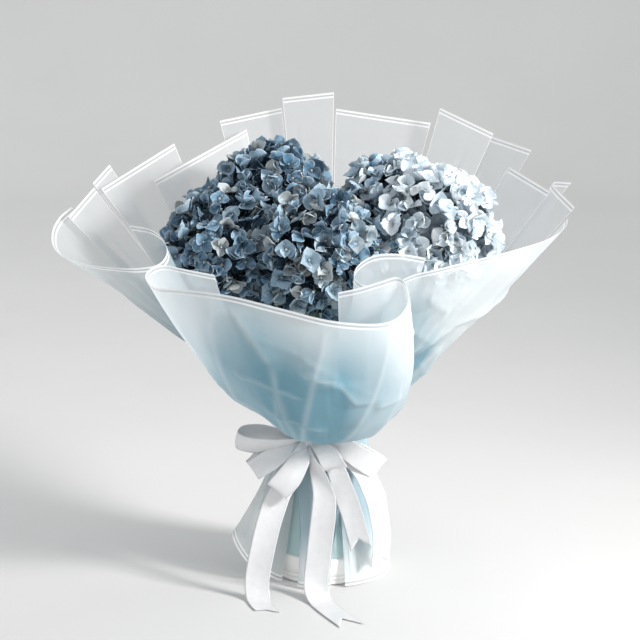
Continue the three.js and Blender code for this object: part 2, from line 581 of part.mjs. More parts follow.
const PINCH = 12; // the ribbon's width where it enters the knot
const FACING = [0.97, -0.2, -0.1]; // the width of a tail that faces the front
const FLAT = [0.98, -0.2, 0]; // and where it lies on the table
const stretches = [
  // the open loop at the upper left, seen from its edge
  ribbon([
    [knotSpot(-4, 0, 1), [0.1, -0.5, 0.85], PINCH],
    [[-39, -61, 150], [0.1, -0.6, 0.8], 20],
    [[-62, -66, 151], [0.1, -0.6, 0.8]],
    [[-78, -66, 153], [0.1, -0.6, 0.8]],
    [[-87, -60, 156], [0.1, -0.6, 0.8]],
    [[-81, -52, 160], [0.1, -0.6, 0.8]],
    [[-62, -50, 160], [0.1, -0.6, 0.8]],
    [[-40, -50, 156], [0.1, -0.6, 0.8], 20],
    [knotSpot(-4, 2, 2), [0.1, -0.5, 0.85], PINCH],
  ]),
  // two loops that hang down to the left
  ribbon([
    [knotSpot(-4, -3, 1), [0.5, -0.6, -0.6], 13],
    [[-39, -66, 147], [0.5, -0.68, -0.5], 20],
    [[-56, -70, 137], [0.5, -0.68, -0.5]],
    [[-71, -69, 127], [0.5, -0.68, -0.5]],
    [[-68, -62, 129], [0.5, -0.68, -0.5]],
    [[-54, -59, 142], [0.5, -0.68, -0.5], 22],
    [knotSpot(-4, 0, 1), [0.5, -0.6, -0.6], PINCH],
  ]),
  ribbon([
    [knotSpot(-2, -4, 0), [0.75, -0.35, -0.55], 14],
    [[-23, -68, 141], [0.76, -0.2, -0.62], 20],
    [[-34, -76, 124], [0.76, -0.2, -0.62]],
    [[-47, -76, 108], [0.76, -0.2, -0.62]],
    [[-43, -70, 109], [0.76, -0.2, -0.62]],
    [[-33, -64, 128], [0.76, -0.2, -0.62], 22],
    [knotSpot(-1, 0, -1), [0.75, -0.3, -0.55], PINCH],
  ]),
  // the short fold in front of the tails
  ribbon([
    [knotSpot(4, -3, 1), [0.9, -0.35, 0.25], 14],
    [[-2, -66, 149], [0.93, -0.25, 0.25], 22],
    [[7, -73, 135], [0.93, -0.25, 0.25]],
    [[10, -70, 128], [0.93, -0.25, 0.25]],
    [[6, -65, 133], [0.93, -0.25, 0.25], 24],
    [knotSpot(4, 0, 0), [0.9, -0.35, 0.25], PINCH],
  ]),
  // the loop at the right
  ribbon([
    [knotSpot(5, -2, 2), [0.4, -0.2, 0.85], 13],
    [[20, -66, 147], [0.5, -0.2, 0.83], 22],
    [[36, -63, 136], [0.5, -0.2, 0.83]],
    [[54, -53, 123], [0.55, 0, 0.8]],
    [[49, -48, 126], [0.55, 0, 0.8]],
    [[25, -51, 143], [0.5, -0.2, 0.83], 20],
    [knotSpot(5, 1, 1), [0.4, -0.2, 0.85], PINCH],
  ]),
  // the left tail
  ribbon([
    [knotSpot(-3, -3, -3), FACING, 11],
    [[-34, -59, 122], FACING, 18],
    [[-46, -66, 100], FACING, 24],
    [[-55, -75, 76], FACING],
    [[-62, -82, 48], FACING],
    [[-67, -86, 20], FACING],
    [[-66, -95, 3.5], FLAT],
    [[-61, -112, 1.2], FLAT],
    [[-56, -124, 1.2], FLAT],
  ]),
  // the middle tail, twisted at its top
  ribbon([
    [knotSpot(-1, -4, -2), [0.55, -0.8, 0.2], 9],
    [[-13, -66, 139], [0.6, -0.75, 0.1], PINCH],
    [[-7, -70, 124], [0.85, -0.45, 0], 18],
    [[-1, -74, 102], FACING, 23],
    [[-2, -76, 80], FACING],
    [[-6, -79, 45], FACING],
    [[-9, -85, 15], FACING],
    [[-5, -97, 2.5], [0.95, 0.3, 0]],
    [[6, -122, 1.2], [0.93, 0.3, 0]],
    [[26, -160, 1.2], [0.93, 0.35, 0]],
  ]),
  // the tail that slants down to the right
  ribbon([
    [knotSpot(3, -3, -2), [0.9, -0.2, 0.3], 11],
    [[8, -62, 130], [0.95, -0.15, 0.28], 18],
    [[18, -67, 105], [0.95, -0.15, 0.28], 22],
    [[27, -67, 79], [0.95, -0.15, 0.28], 22],
    [[36, -68, 44], [0.95, -0.15, 0.28], 22],
  ]),
  // the right tail
  ribbon([
    [knotSpot(5, -1, -1), [0.6, -0.2, 0.7], 11],
    [[30, -57, 130], [0.6, 0.1, 0.7], 18],
    [[48, -56, 100], [0.75, 0.4, 0.4], 22],
    [[54, -54, 75], [0.8, 0.5, 0.2], 22],
    [[57, -53, 48], [0.8, 0.55, 0.1], 22],
    [[55, -54, 23], [0.8, 0.55, 0.1], 22],
  ]),
];
const tied = wasm.Manifold.union([band(), toSolid(knotShape), ...stretches]);
addMesh('ribbon_bow', toGeometry(largestPiece(tied)), SATIN);

export default bouquet;
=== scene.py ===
import math

import bpy
import numpy as np
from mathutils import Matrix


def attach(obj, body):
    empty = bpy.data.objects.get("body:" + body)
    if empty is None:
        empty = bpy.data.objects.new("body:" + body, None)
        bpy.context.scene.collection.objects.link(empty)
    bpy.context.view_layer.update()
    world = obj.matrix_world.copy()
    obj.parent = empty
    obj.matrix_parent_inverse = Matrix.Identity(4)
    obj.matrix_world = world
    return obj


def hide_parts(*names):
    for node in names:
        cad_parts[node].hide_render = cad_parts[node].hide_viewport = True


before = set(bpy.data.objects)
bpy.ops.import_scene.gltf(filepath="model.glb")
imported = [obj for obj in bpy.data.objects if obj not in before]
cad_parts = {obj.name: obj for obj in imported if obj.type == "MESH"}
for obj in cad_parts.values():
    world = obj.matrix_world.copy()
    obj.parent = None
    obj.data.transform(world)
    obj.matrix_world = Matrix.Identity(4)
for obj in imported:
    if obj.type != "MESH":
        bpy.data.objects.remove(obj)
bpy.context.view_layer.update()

# Meshes are worked out in millimetres. The camera, the floor and the lights are in metres.
MM = 0.001
ROOT = "root"


def linked(name, data):
    """A new object in the scene."""
    made = bpy.data.objects.new(name, data)
    bpy.context.scene.collection.objects.link(made)
    return made


# ---- camera ----
camera = linked("camera", bpy.data.cameras.new("camera"))
camera.data.lens = 112.5
camera.data.sensor_width = 36
camera.data.clip_start = 0.05
camera.location = (-0.005, -1.9406, 0.7458)
camera.rotation_euler = (math.radians(76), 0, 0)
bpy.context.scene.camera = camera
bpy.context.scene.view_settings.view_transform = "Standard"


# ---- shader helpers ----
class Shader:
    """A node material, built a node at a time. A value is a number, a colour or another node's socket."""

    def __init__(self, name):
        self.material = bpy.data.materials.new(name)
        self.material.use_nodes = True
        self.tree = self.material.node_tree
        self.tree.nodes.clear()

    def node(self, kind, inputs=(), **settings):
        made = self.tree.nodes.new("ShaderNode" + kind)
        for key, value in settings.items():
            setattr(made, key, value)
        for key, value in dict(inputs).items():
            socket = made.inputs[key]
            if isinstance(value, bpy.types.NodeSocket):
                self.tree.links.new(value, socket)
            elif socket.type == "RGBA":
                socket.default_value = (*value, 1)
            else:
                socket.default_value = value
        return made

    def attribute(self, name):
        return self.node("Attribute", attribute_name=name).outputs["Fac"]

    def math(self, operation, a, b=None, clamp=False):
        inputs = {0: a} if b is None else {0: a, 1: b}
        return self.node("Math", inputs, operation=operation, use_clamp=clamp).outputs[0]

    def plus(self, a, b):
        return self.math("ADD", a, b)

    def minus(self, a, b):
        return self.math("SUBTRACT", a, b)

    def times(self, a, b, clamp=False):
        return self.math("MULTIPLY", a, b, clamp)

    def highest(self, a, b, clamp=False):
        return self.math("MAXIMUM", a, b, clamp)

    def mix(self, share, a, b):
        return self.node("Mix", {0: share, 6: a, 7: b}, data_type="RGBA").outputs[2]

    def ramp(self, value, *stops):
        """A grey ramp through (position, level) stops."""
        made = self.node("ValToRGB", {0: value})
        points = made.color_ramp.elements
        while len(points) < len(stops):
            points.new(0.5)
        for point, (position, level) in zip(points, stops):
            point.position = position
            point.color = (level, level, level, 1)
        return made.outputs[0]

    def place(self):
        return self.node("TexCoord").outputs["Object"]

    def noise(self, scale, detail, stretch=(1, 1, 1)):
        spot = self.node("Mapping", {"Vector": self.place(), "Scale": stretch}).outputs[0]
        inputs = {"Vector": spot, "Scale": scale, "Detail": detail, "Roughness": 0.55}
        return self.node("TexNoise", inputs).outputs[0]

    def bump(self, height, distance, strength):
        inputs = {"Height": height, "Distance": distance, "Strength": strength}
        return self.node("Bump", inputs).outputs[0]

    def principled(self, **inputs):
        named = {key.replace("_", " ").title().replace("Ior", "IOR"): value for key, value in inputs.items()}
        return self.node("BsdfPrincipled", named).outputs[0]

    def translucent(self, **inputs):
        return self.node("BsdfTranslucent", inputs).outputs[0]

    def blend(self, share, a, b):
        return self.node("MixShader", {0: share, 1: a, 2: b}).outputs[0]

    def finish(self, surface):
        self.node("OutputMaterial", {"Surface": surface})
        return self.material


# The film's edge, in shares of EDGE_REACH millimetres: two white lines, and a greyer gap between them.
EDGE_REACH = 10
EDGE_LINES = (0, 1), (0.2, 1), (0.24, 0), (0.37, 0), (0.41, 1), (0.58, 1), (0.63, 0)
EDGE_GAP = (0.2, 0), (0.24, 1), (0.37, 1), (0.41, 0)
SIDE_LINE = (0.5, 1), (0.9, 0)
GAP_GREY, LINE_WHITE, FOLD_LINE_AND_HIGHLIGHT_WHITE = (0.50, 0.52, 0.54), (0.95, 0.95, 0.955), (0.90, 0.93, 0.94)
SPECKLE_WHITE = 0.97, 0.97, 0.98


def film_material(name, white, deep, clear, haze):
    """Frosted film: white at its edges with two whiter lines, and blue towards the waist.
    clear is how much passes straight through where it is white, haze how much light it scatters on."""
    s = Shader(name)
    edge = s.times(s.attribute("edge"), 1 / EDGE_REACH)
    line = s.highest(s.ramp(edge, *EDGE_LINES), s.ramp(s.attribute("side"), *SIDE_LINE))
    gap = s.ramp(edge, *EDGE_GAP)
    fold, speckle = s.attribute("fold"), s.noise(900, 2)
    streak = s.plus(s.times(s.noise(34, 4, (1, 1, 0.12)), 0.5), 0.76)
    blue = s.times(s.attribute("blue"), streak, clamp=True)
    tone = s.mix(blue, white, deep)
    tone = s.mix(s.times(gap, 0.7), tone, GAP_GREY)
    tone = s.mix(line, tone, LINE_WHITE)
    # fold ridges whiter: partly the film's whitened crease, partly a painted highlight along the ridge
    tone = s.mix(s.times(fold, 0.32), tone, FOLD_LINE_AND_HIGHLIGHT_WHITE)
    tone = s.mix(s.times(speckle, 0.07), tone, SPECKLE_WHITE)
    rough = s.plus(s.times(speckle, 0.16), 0.28)
    normal = s.bump(s.noise(60, 5, (1, 1, 0.2)), 0.0012, 0.4)
    face = s.principled(base_color=tone, roughness=rough, normal=normal, ior=1.46)
    sheet = s.blend(haze, face, s.translucent(Color=tone, Normal=normal))
    solid = s.plus(s.times(blue, 0.6 * clear), 1 - clear)
    for mark, share in ((line, 0.97), (gap, 0.85), (fold, 0.82)):
        solid = s.highest(solid, s.times(mark, share), clamp=True)
    return s.finish(s.blend(solid, s.node("BsdfTransparent").outputs[0], sheet))


def satin_material():
    """White satin: fine threads, and a plainer selvedge along each side."""
    s = Shader("satin")
    selvedge = s.ramp(s.attribute("across"), (0, 1), (0.045, 1), (0.06, 0), (0.94, 0), (0.955, 1), (1, 1))
    tone = s.mix(s.noise(140, 3), (0.82, 0.825, 0.84), (0.95, 0.95, 0.955))
    tone = s.mix(s.times(selvedge, 0.7), tone, (0.70, 0.71, 0.73))
    threads = s.node("TexWave", {"Scale": 330, "Distortion": 0.6, "Vector": s.place()},
                     bands_direction="Z").outputs[1]
    normal = s.bump(s.plus(s.times(threads, 0.3), selvedge), 0.00022, 0.5)
    rough = s.plus(s.times(s.noise(420, 2, (1, 1, 0.2)), 0.16), 0.16)
    face = s.principled(base_color=tone, roughness=rough, normal=normal, sheen_weight=0.3,
                        sheen_roughness=0.3, anisotropic=0.6, specular_ior_level=0.9)
    return s.finish(s.blend(0.22, face, s.translucent(Color=tone)))


# Painted sunlight: the colours that the right of a head is painted towards.
SUNLIT_BLUE, SUNLIT_WHITE = (0.80, 0.90, 0.96), (0.98, 0.985, 0.985)
BASE_SHADE_BLUE, RIM_PALE_AND_HIGHLIGHT, VEIN_BLUE = (0.022, 0.06, 0.105), (0.78, 0.83, 0.86), (0.12, 0.2, 0.32)


def sepal_material(name, deep, mid, pale, cream, through_share):
    """Sepals: each floret takes its own colour from its shade, paler to the rim, with darker veins. The deep
    florets and each sepal's base carry painted shade, the rim partly a painted highlight, and a head's right
    side painted sunlight.
    """
    s = Shader(name)
    along, shade, painted_sun = s.attribute("along"), s.attribute("shade"), s.attribute("painted_sun")
    # painted shade: the lowest shades, which the florets deep in the head take, go to the near-black deep
    # colour
    tone = s.mix(s.ramp(shade, (0, 0), (0.38, 1)), deep, mid)
    tone = s.mix(s.ramp(shade, (0.36, 0), (0.9, 1)), tone, pale)
    tone = s.mix(s.ramp(s.attribute("warm"), (0.62, 0), (1, 0.9)), tone, cream)
    # painted sunlight: paler towards the right of a head, where the light falls
    tone = s.mix(painted_sun, tone, s.mix(shade, SUNLIT_BLUE, SUNLIT_WHITE))
    # blotches and a pale rim, which the florets deep in the head, painted dark as shade, hardly have
    out_of_shade = s.ramp(shade, (0.04, 0.12), (0.24, 1))
    blotch = s.ramp(s.noise(150, 4), (0.42, 0), (0.68, 0.5))
    tone = s.mix(s.times(blotch, out_of_shade), tone, pale)
    # painted shade: each sepal darker towards its base, among the others; less so under painted sunlight
    base_shade = s.times(s.ramp(along, (0.03, 0.92), (0.46, 0)), s.minus(1, s.times(painted_sun, 0.75)))
    tone = s.mix(base_shade, tone, BASE_SHADE_BLUE)
    off_middle = s.math("ABSOLUTE", s.attribute("across"))
    # the pale rim is partly the sepals' own paler edge, partly a painted highlight
    rim = s.highest(s.ramp(off_middle, (0.74, 0), (1, 1)), s.ramp(along, (0.84, 0), (1, 1)))
    tone = s.mix(s.times(rim, s.times(out_of_shade, 0.46)), tone, RIM_PALE_AND_HIGHLIGHT)
    # veins fan out from the base: a middle one, and pairs that curve off to each side
    fan = s.minus(s.times(off_middle, 3.4), s.times(along, 2.3))
    side_vein = s.ramp(s.math("ABSOLUTE", s.math("SINE", s.times(fan, 4.6))), (0, 1), (0.2, 0))
    vein = s.highest(s.times(side_vein, 0.55), s.ramp(off_middle, (0.015, 1), (0.07, 0)))
    vein = s.times(vein, s.ramp(along, (0, 1), (0.98, 0.15)))
    tone = s.mix(s.times(vein, 0.34), tone, VEIN_BLUE)
    normal = s.bump(s.minus(s.times(s.noise(700, 2), 0.3), vein), 0.0004, 0.6)
    face = s.principled(base_color=tone, roughness=0.78, normal=normal, specular_ior_level=0.16)
    return s.finish(s.blend(through_share, face, s.translucent(Color=tone, Normal=normal)))


def mottled_material(name, a, b, scale, roughness, bump, **finish):
    """Two close tones in a soft mottle, with a fine bump."""
    s = Shader(name)
    spots = s.noise(scale, 4)
    tone = s.mix(s.ramp(spots, (0.35, 0), (0.65, 1)), a, b)
    rough = s.plus(s.times(spots, 0.12), roughness)
    normal = s.bump(s.noise(scale * 4, 3), bump, 0.4)
    return s.finish(s.principled(base_color=tone, roughness=rough, normal=normal, **finish))


# ---- mesh helpers ----
TINY = 1e-9


def mesh_piece(name, node, slot, points, faces, material, attributes=(), thickness=0.0):
    """A piece in the place of a node, from points in millimetres. Attributes are numbers for the points."""
    mesh = bpy.data.meshes.new(name)
    points = np.asarray(points, float).reshape(-1, 3) * MM
    mesh.from_pydata(points.tolist(), [], faces if isinstance(faces, list) else faces.tolist())
    for key, values in dict(attributes).items():
        made = mesh.attributes.new(key, "FLOAT", "POINT")
        made.data.foreach_set("value", np.asarray(values, np.float32).ravel())
    mesh.shade_smooth()
    mesh.update()
    mesh.materials.append(material)
    piece = linked(name, mesh)
    if thickness:
        solid = piece.modifiers.new("thickness", "SOLIDIFY")
        solid.thickness = thickness * MM
        solid.offset = 0
    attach(piece, ROOT)
    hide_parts(node)
    return piece


def grid_faces(columns, rows, closed=False):
    """The quads of a grid whose points run up each column in turn."""
    i, j = np.meshgrid(np.arange(columns if closed else columns - 1), np.arange(rows - 1), indexing="ij")
    after = (i + 1) % columns
    quads = [i * rows + j, after * rows + j, after * rows + j + 1, i * rows + j + 1]
    return np.stack(quads, -1).reshape(-1, 4)


def capped_faces(columns, rows):
    """The quads of a grid that closes on itself, and a face over each of its ends."""
    faces = grid_faces(columns, rows, True).tolist()
    faces.append([k * rows for k in range(columns)][::-1])
    faces.append([k * rows + rows - 1 for k in range(columns)])
    return faces


def full_turn(sides):
    return np.arange(sides) * 2 * np.pi / sides


def rounded(turn, height, flat, out=1, up=1):
    """A rounded grid: flat is how wide it is at each height, and out and up swell it."""
    wide = [flat * way(turn)[:, None] * out for way in (np.cos, np.sin)]
    return np.stack(np.broadcast_arrays(*wide, height * up), -1)


def unit(vectors, least=0.0):
    """Vectors of length 1, or shorter where they were shorter than least."""
    return vectors / np.maximum(np.linalg.norm(vectors, axis=-1, keepdims=True), least)


def catmull(points, u):
    """Rows of numbers at even steps, sampled at u from 0 to 1 along a Catmull-Rom spline."""
    p = np.asarray(points, float)
    p = np.vstack([2 * p[0] - p[1], p, 2 * p[-1] - p[-2]])
    s = np.clip(u, 0, 1) * (len(points) - 1)
    i = np.minimum(s.astype(int), len(points) - 2)
    w = (s - i)[:, None]
    a, b, c, d = p[i], p[i + 1], p[i + 2], p[i + 3]
    start, stop = (c - a) / 2, (d - b) / 2
    return b + start * w + (3 * (c - b) - 2 * start - stop) * w**2 + (2 * (b - c) + start + stop) * w**3


def smoothstep(low, high, x):
    t = np.clip((x - low) / (high - low), 0, 1)
    return t * t * (3 - 2 * t)


def polar(degrees, radius, z):
    """Places at angles round the vase: 0 is the front, 90 the right and -90 the left."""
    turn = np.radians(degrees)
    return np.stack(np.broadcast_arrays(radius * np.sin(turn), -radius * np.cos(turn), z), -1)


def lerp(a, b, t):
    return a + (b - a) * t


def swung(x, y, turn):
    return x * np.cos(turn) - y * np.sin(turn), x * np.sin(turn) + y * np.cos(turn)


def steps(line):
    return np.linalg.norm(np.diff(line, axis=0), axis=1)


def arc(points, axis):
    """How far each point of a grid lies along its own line in that direction, from the first."""
    steps = np.linalg.norm(np.diff(points, axis=axis), axis=2)
    pad = [(0, 0), (0, 0)]
    pad[axis] = (1, 0)
    return np.cumsum(np.pad(steps, pad), axis)


def normals(grid, closed=False):
    along = np.roll(grid, -1, 0) - np.roll(grid, 1, 0) if closed else np.gradient(grid, axis=0)
    return unit(np.cross(along, np.gradient(grid, axis=1)), TINY)


# ---- the film sheets: the same ribs as the solids', sampled finely ----
# The tie's heights, how far a sheet has turned below it, how much the skirt curls in, and the lowest hem.
TIE_BOTTOM, TIE_TOP, TIE_TURN, SKIRT_CURL, HEM = 151.5, 161, 0.2, 0.35, 2
SKIRT_ROWS, TIE_ROWS, RISE_ROWS, COLUMNS_PER_RIB = 26, 4, 84, 18
WAIST_ROW = SKIRT_ROWS + TIE_ROWS - 2
# How far from an edge counts as none.
PLAIN = 99
# The radii of the layers at the waist.
INNER, BACK_A, BACK_B, BACK_C = 36.2, 37.5, 38.8, 40.1
SIDE_FOLD, SIDE, FRONT_FOLD, FRONT = 39.4, 41.8, 44.2, 46.4
# Creases, as shares of the sheet's width, and of the way from its waist to its rim or hem.
CREASE_DRIFT, CREASE_WIDTH, CREASE_HEIGHT, CREASE_DIP = 0.05, (0.012, 0.045), (0.35, 1), 0.4
CREASE_START, CREASE_IN, CREASE_STOP, CREASE_OUT = (-0.2, 0.3), 0.25, (0.55, 1.1), 0.35
SHARP_SHARE, NEAR_WAIST = 0.45, 0.3
# Wrinkles: how many for each crease, and their sizes in millimetres.
WRINKLE_SHARE, WRINKLE_LENGTH, WRINKLE_WIDTH, WRINKLE_HEIGHT = 0.6, (18, 55), (2.5, 7), (0.2, 0.5)
WRINKLE_TURN, WRINKLE_BEND = (-1.1, 1.1), 0.004
FOLD_LINE, FULL_FOLD = 1.7, 5
PLEAT_COLUMNS, PLEAT_HEIGHT, PLEAT_REACH = 9, 0.55, 0.1
COLOUR_SEED, COLOUR_WANDER, HEM_WANDER = 1000, 0.07, 14
WAIST_BLUE, WAIST_FADE = 0.62, (5, 75)


def film_grid(ribs):
    """A grid of places from rib numbers: columns from one side to the other, rows from hem to rim."""
    ribs = np.asarray(ribs, float)[:, None, :]
    rim, waist, hem = ribs[..., :3], ribs[..., 3:5], ribs[..., 5:8]
    belly, push = ribs[..., 8:9], ribs[..., 9:] if ribs.shape[-1] > 9 else 0
    tie = lerp(waist[..., 0], hem[..., 0], TIE_TURN)
    t = np.linspace(1, 0, SKIRT_ROWS)
    degrees = lerp(tie, hem[..., 0], 1 - (1 - t) ** 2)
    radius = lerp(waist[..., 1], hem[..., 1], t * (1 - SKIRT_CURL * (1 - t)))
    skirt = polar(degrees, radius, lerp(TIE_BOTTOM, hem[..., 2], t))
    t = np.linspace(0, 1, TIE_ROWS + 1)[1:-1]
    band = polar(lerp(tie, waist[..., 0], t), waist[..., 1], lerp(TIE_BOTTOM, TIE_TOP, t))
    top = polar(waist[..., 0], waist[..., 1], TIE_TOP)
    run = rim - top
    reach = np.linalg.norm(run[..., :2], axis=-1, keepdims=True)
    out = unit(np.concatenate([run[..., :2] / reach * run[..., 2:], -reach], -1))
    control = (top + rim) / 2 + out * belly * 2 + push
    t = np.linspace(0, 1, RISE_ROWS)[:, None]
    rise = top * (1 - t) ** 2 + control * 2 * t * (1 - t) + rim * t**2
    return np.concatenate([skirt, band, rise], 1)


def sheet_grid(ribs, columns=COLUMNS_PER_RIB):
    """The fine grid of a sheet, with so many columns from each of its ribs to the next."""
    return film_grid(catmull(ribs, np.linspace(0, 1, (len(ribs) - 1) * columns + 1)))


def across_share(columns, closed):
    return np.linspace(0, 1, columns, endpoint=not closed)[:, None]


def from_hem(grid):
    """How far each place lies up its rib from the hem, above the waist, and below the tie."""
    run = arc(grid, 1)
    return run, run - run[:, WAIST_ROW:WAIST_ROW + 1], run[:, SKIRT_ROWS - 1:SKIRT_ROWS] - run


def fold_shape(u, rise, row_length, start, stop, width):
    """How near each place is to a straight fold between two places of the sheet: soft, and sharp."""
    (u0, y0), (u1, y1) = start, stop
    if abs(y1 - y0) > abs(u1 - u0) * row_length.mean():
        along = (rise - y0) / (y1 - y0)
        gap = (u - lerp(u0, u1, along)) * row_length
    else:
        along = (u - u0) / (u1 - u0)
        gap = rise - lerp(y0, y1, along)
    ends = smoothstep(-0.1, 0.15, along) * (1 - smoothstep(0.85, 1.1, along))
    return ends * np.exp(-np.abs(gap) / width), ends * np.exp(-((gap / FOLD_LINE) ** 2))


def creased(grid, seed, count, depth, folds, closed):
    """The sheet with soft creases from the waist to the rim and the hem, short wrinkles, its own folds, and
    pleats at the waist. Also how near each place is to the ridge of a fold."""
    random = np.random.default_rng(seed)
    columns, rows = grid.shape[:2]
    u, side = across_share(columns, closed), arc(grid, 0)
    _, rise, drop = from_hem(grid)
    up, down = rise / np.maximum(rise[:, -1:], 1), drop / np.maximum(drop[:, :1], 1)
    away = np.where(up > 0, up, np.maximum(down, 0))
    total = np.zeros((columns, rows))
    for _ in range(count):
        middle, drift = random.random(), random.normal(0, CREASE_DRIFT)
        width, height = random.uniform(*CREASE_WIDTH), random.uniform(*CREASE_HEIGHT) * random.choice([-1, 1])
        start, stop = random.uniform(*CREASE_START), random.uniform(*CREASE_STOP)
        gap = u - (middle + drift * np.where(up > 0, up, -down))
        if closed:
            gap = (gap + 0.5) % 1 - 0.5
        near = gap / (width * (0.6 + away))
        shape = np.exp(-np.abs(near)) if random.random() < SHARP_SHARE else np.exp(-(near**2))
        shape -= CREASE_DIP * np.exp(-((gap / (3 * width)) ** 2))
        shape *= height * smoothstep(start, start + CREASE_IN, away)
        total += shape * (1 - smoothstep(stop - CREASE_OUT, stop, away))
    for _ in range(0 if closed else round(count * WRINKLE_SHARE)):
        margin = columns // 12
        place = random.integers(margin, columns - margin), random.integers(WAIST_ROW + 9, rows - 8)
        turn, length = random.uniform(*WRINKLE_TURN), random.uniform(*WRINKLE_LENGTH)
        x, y = swung(side - side[place], rise - rise[place], -turn)
        y = y + WRINKLE_BEND * x**2
        height = random.uniform(*WRINKLE_HEIGHT)
        total += height * np.exp(-((x / length) ** 2) - np.abs(y) / random.uniform(*WRINKLE_WIDTH))
    total *= (1 - smoothstep(0.86, 1, away)) * lerp(NEAR_WAIST, 1, smoothstep(0.03, 0.4, away)) * depth
    ridge = np.zeros_like(total)
    for start, stop, width, height in folds:
        soft, sharp = fold_shape(u, np.where(up > 0, rise, -PLAIN), side[-1:], start, stop, width)
        total += soft * height
        ridge = np.maximum(ridge, sharp * min(1, height / FULL_FOLD))
    pleats = np.sin(2 * np.pi * round(columns / PLEAT_COLUMNS) * u + 3 * np.sin(2 * np.pi * 3 * u))
    total += PLEAT_HEIGHT * pleats * np.exp(-((away / PLEAT_REACH) ** 2))
    return grid + normals(grid, closed) * total[..., None], ridge


def film_piece(name, node, grid, material, seed, creases, depth, blue, reach, slot="film", closed=False,
               folds=(), bands=((0, 1, 1), (1, 1, 1)), patches=()):
    """creases is how many a sheet has, depth how deep they are, and blue how deep the colour is at the waist.
    reach says between what heights it fades above the waist and comes in above the hem, and how much of it
    the skirt has. bands say across the sheet how high it reaches and how deep it is, and patches where it is
    deeper: a place, its size, and how much."""
    run, rise, drop = from_hem(grid)
    side = arc(grid, 0)
    edge, side = np.minimum(run, run[:, -1:] - run), np.minimum(side, side[-1:] - side)
    if closed:
        edge = side = np.full_like(run, PLAIN)
    random = np.random.default_rng(seed + COLOUR_SEED)
    u = across_share(len(grid), closed)
    wander = sum(random.normal(0, COLOUR_WANDER) * np.sin(2 * np.pi * (k * u + random.random()))
                 for k in range(1, 6))
    share, high, deep = np.array(bands, float).T
    high, deep = np.interp(u, share, high), np.interp(u, share, deep)
    fade_from, fade_to, low_from, low_to, skirt_share = reach
    amount = (1 - smoothstep(fade_from, fade_to, rise * (1 + wander) / high)) * deep
    amount *= lerp(WAIST_BLUE, 1, smoothstep(*WAIST_FADE, rise))
    for (at_u, at_rise), (wide, tall), more in patches:
        amount += more * np.exp(-(((u - at_u) / wide) ** 2) - ((rise - at_rise) / tall) ** 2)
    low = smoothstep(low_from, low_to, grid[..., 2] + HEM_WANDER * wander)
    amount = np.where(drop > 0, low * skirt_share, amount) * blue
    shaped, ridge = creased(grid, seed, creases, depth, folds, closed)
    attributes = {"edge": edge, "side": side, "blue": amount, "fold": ridge}
    mesh_piece(name, node, slot, shaped, grid_faces(*grid.shape[:2], closed), material, attributes)


# Each rib: the place of its rim, its turn and radius at the waist, its turn, radius and height at the hem,
# how far it bellies out, and in front also a push to the middle of its rise.
front_ribs = [
    (-105, -96, 330, -40, FRONT_FOLD, -18, 65.6, 6, 10, 0, 0, -6),
    (-130, -101, 336, -43, FRONT_FOLD, -20, 65.6, 6, 10, 0, 0, -6),
    (-152, -104, 341, -46, FRONT_FOLD + 0.1, -22, 65.8, 5, 10, 0, 0, -6),
    (-165, -110, 338, -49, FRONT_FOLD + 0.6, -24, 66.4, 4, 11, 0, 0, -6),
    (-168, -118, 331, -49.5, FRONT - 0.6, -24, 67.4, 3, 12.5, 0, 0, -8),
    (-158, -127, 325, -47, FRONT, -22.5, 67.9, HEM, 14.5, 0, 0, -10),
    (-134, -136, 325, -41, FRONT, -20, 68, HEM, 18, 0, 0, -14),
    (-91, -146, 322, -28, FRONT, -16, 68, HEM, 24, 0, 0, -20),
    (-41, -152, 311, -12, FRONT, -10, 68, HEM, 30, 0, 4, -26),
    (-1, -154, 301, 2, FRONT, -5, 68, HEM, 33, 0, 6, -28),
    (32, -150, 296, 18, FRONT, -1, 68, HEM, 33, 4, 6, -28),
    (55, -142, 295, 33, FRONT, 2, 68, HEM, 31, 12, 4, -24),
    (70, -132, 300, 47, FRONT, 3, 67.9, HEM, 27, 19, 0, -20),
    (78, -122, 312, 56, FRONT - 0.5, 4.5, 67.5, 3, 21, 24, 0, -20),
    (76, -114, 325, 57, FRONT_FOLD + 0.6, 4.5, 66.4, 4, 19, 23, 0, -18),
    (67, -110.5, 331, 54, FRONT_FOLD + 0.1, 3, 65.8, 5, 19, 18, 0, -14),
    (52, -111, 327, 48, FRONT_FOLD, 1, 65.6, 6, 18, 12, 0, -8),
    (32, -112, 321, 41, FRONT_FOLD, -1, 65.6, 6, 17, 6, 0, -6),
    (12, -113, 317, 34, FRONT_FOLD, -3, 65.6, 6, 16, 0, 0, -6),
]
left_ribs = [
    (-189, -52, 369, -60, SIDE_FOLD, -62, 66, 16, 10),
    (-168, -57, 366, -54, SIDE_FOLD, -58, 64, 10, 11),
    (-155, -66, 358, -45, SIDE_FOLD, -52, 62, 6, 12),
    (-151, -77, 347, -35, SIDE_FOLD + 0.7, -46, 61.5, 4, 13),
    (-158, -84, 338, -33, SIDE - 0.7, -44, 62.5, HEM, 10),
    (-172, -87, 335, -42, SIDE, -48, 65, HEM, 7),
    (-195, -87, 334, -54, SIDE, -54, 72, 7, 4.5),
    (-224, -78, 335, -66, SIDE, -62, 86, 17, 1),
    (-250, -60, 338, -77, SIDE, -68, 96, 34, -1),
    (-264, -38, 345, -87, SIDE, -74, 98, 46, -1),
    (-268, -14, 355, -96, SIDE, -86, 88, 36, 1),
    (-264, 10, 364, -104, SIDE, -104, 77, 18, 3),
    (-254, 32, 371, -111, SIDE, -122, 71, 6, 5),
]
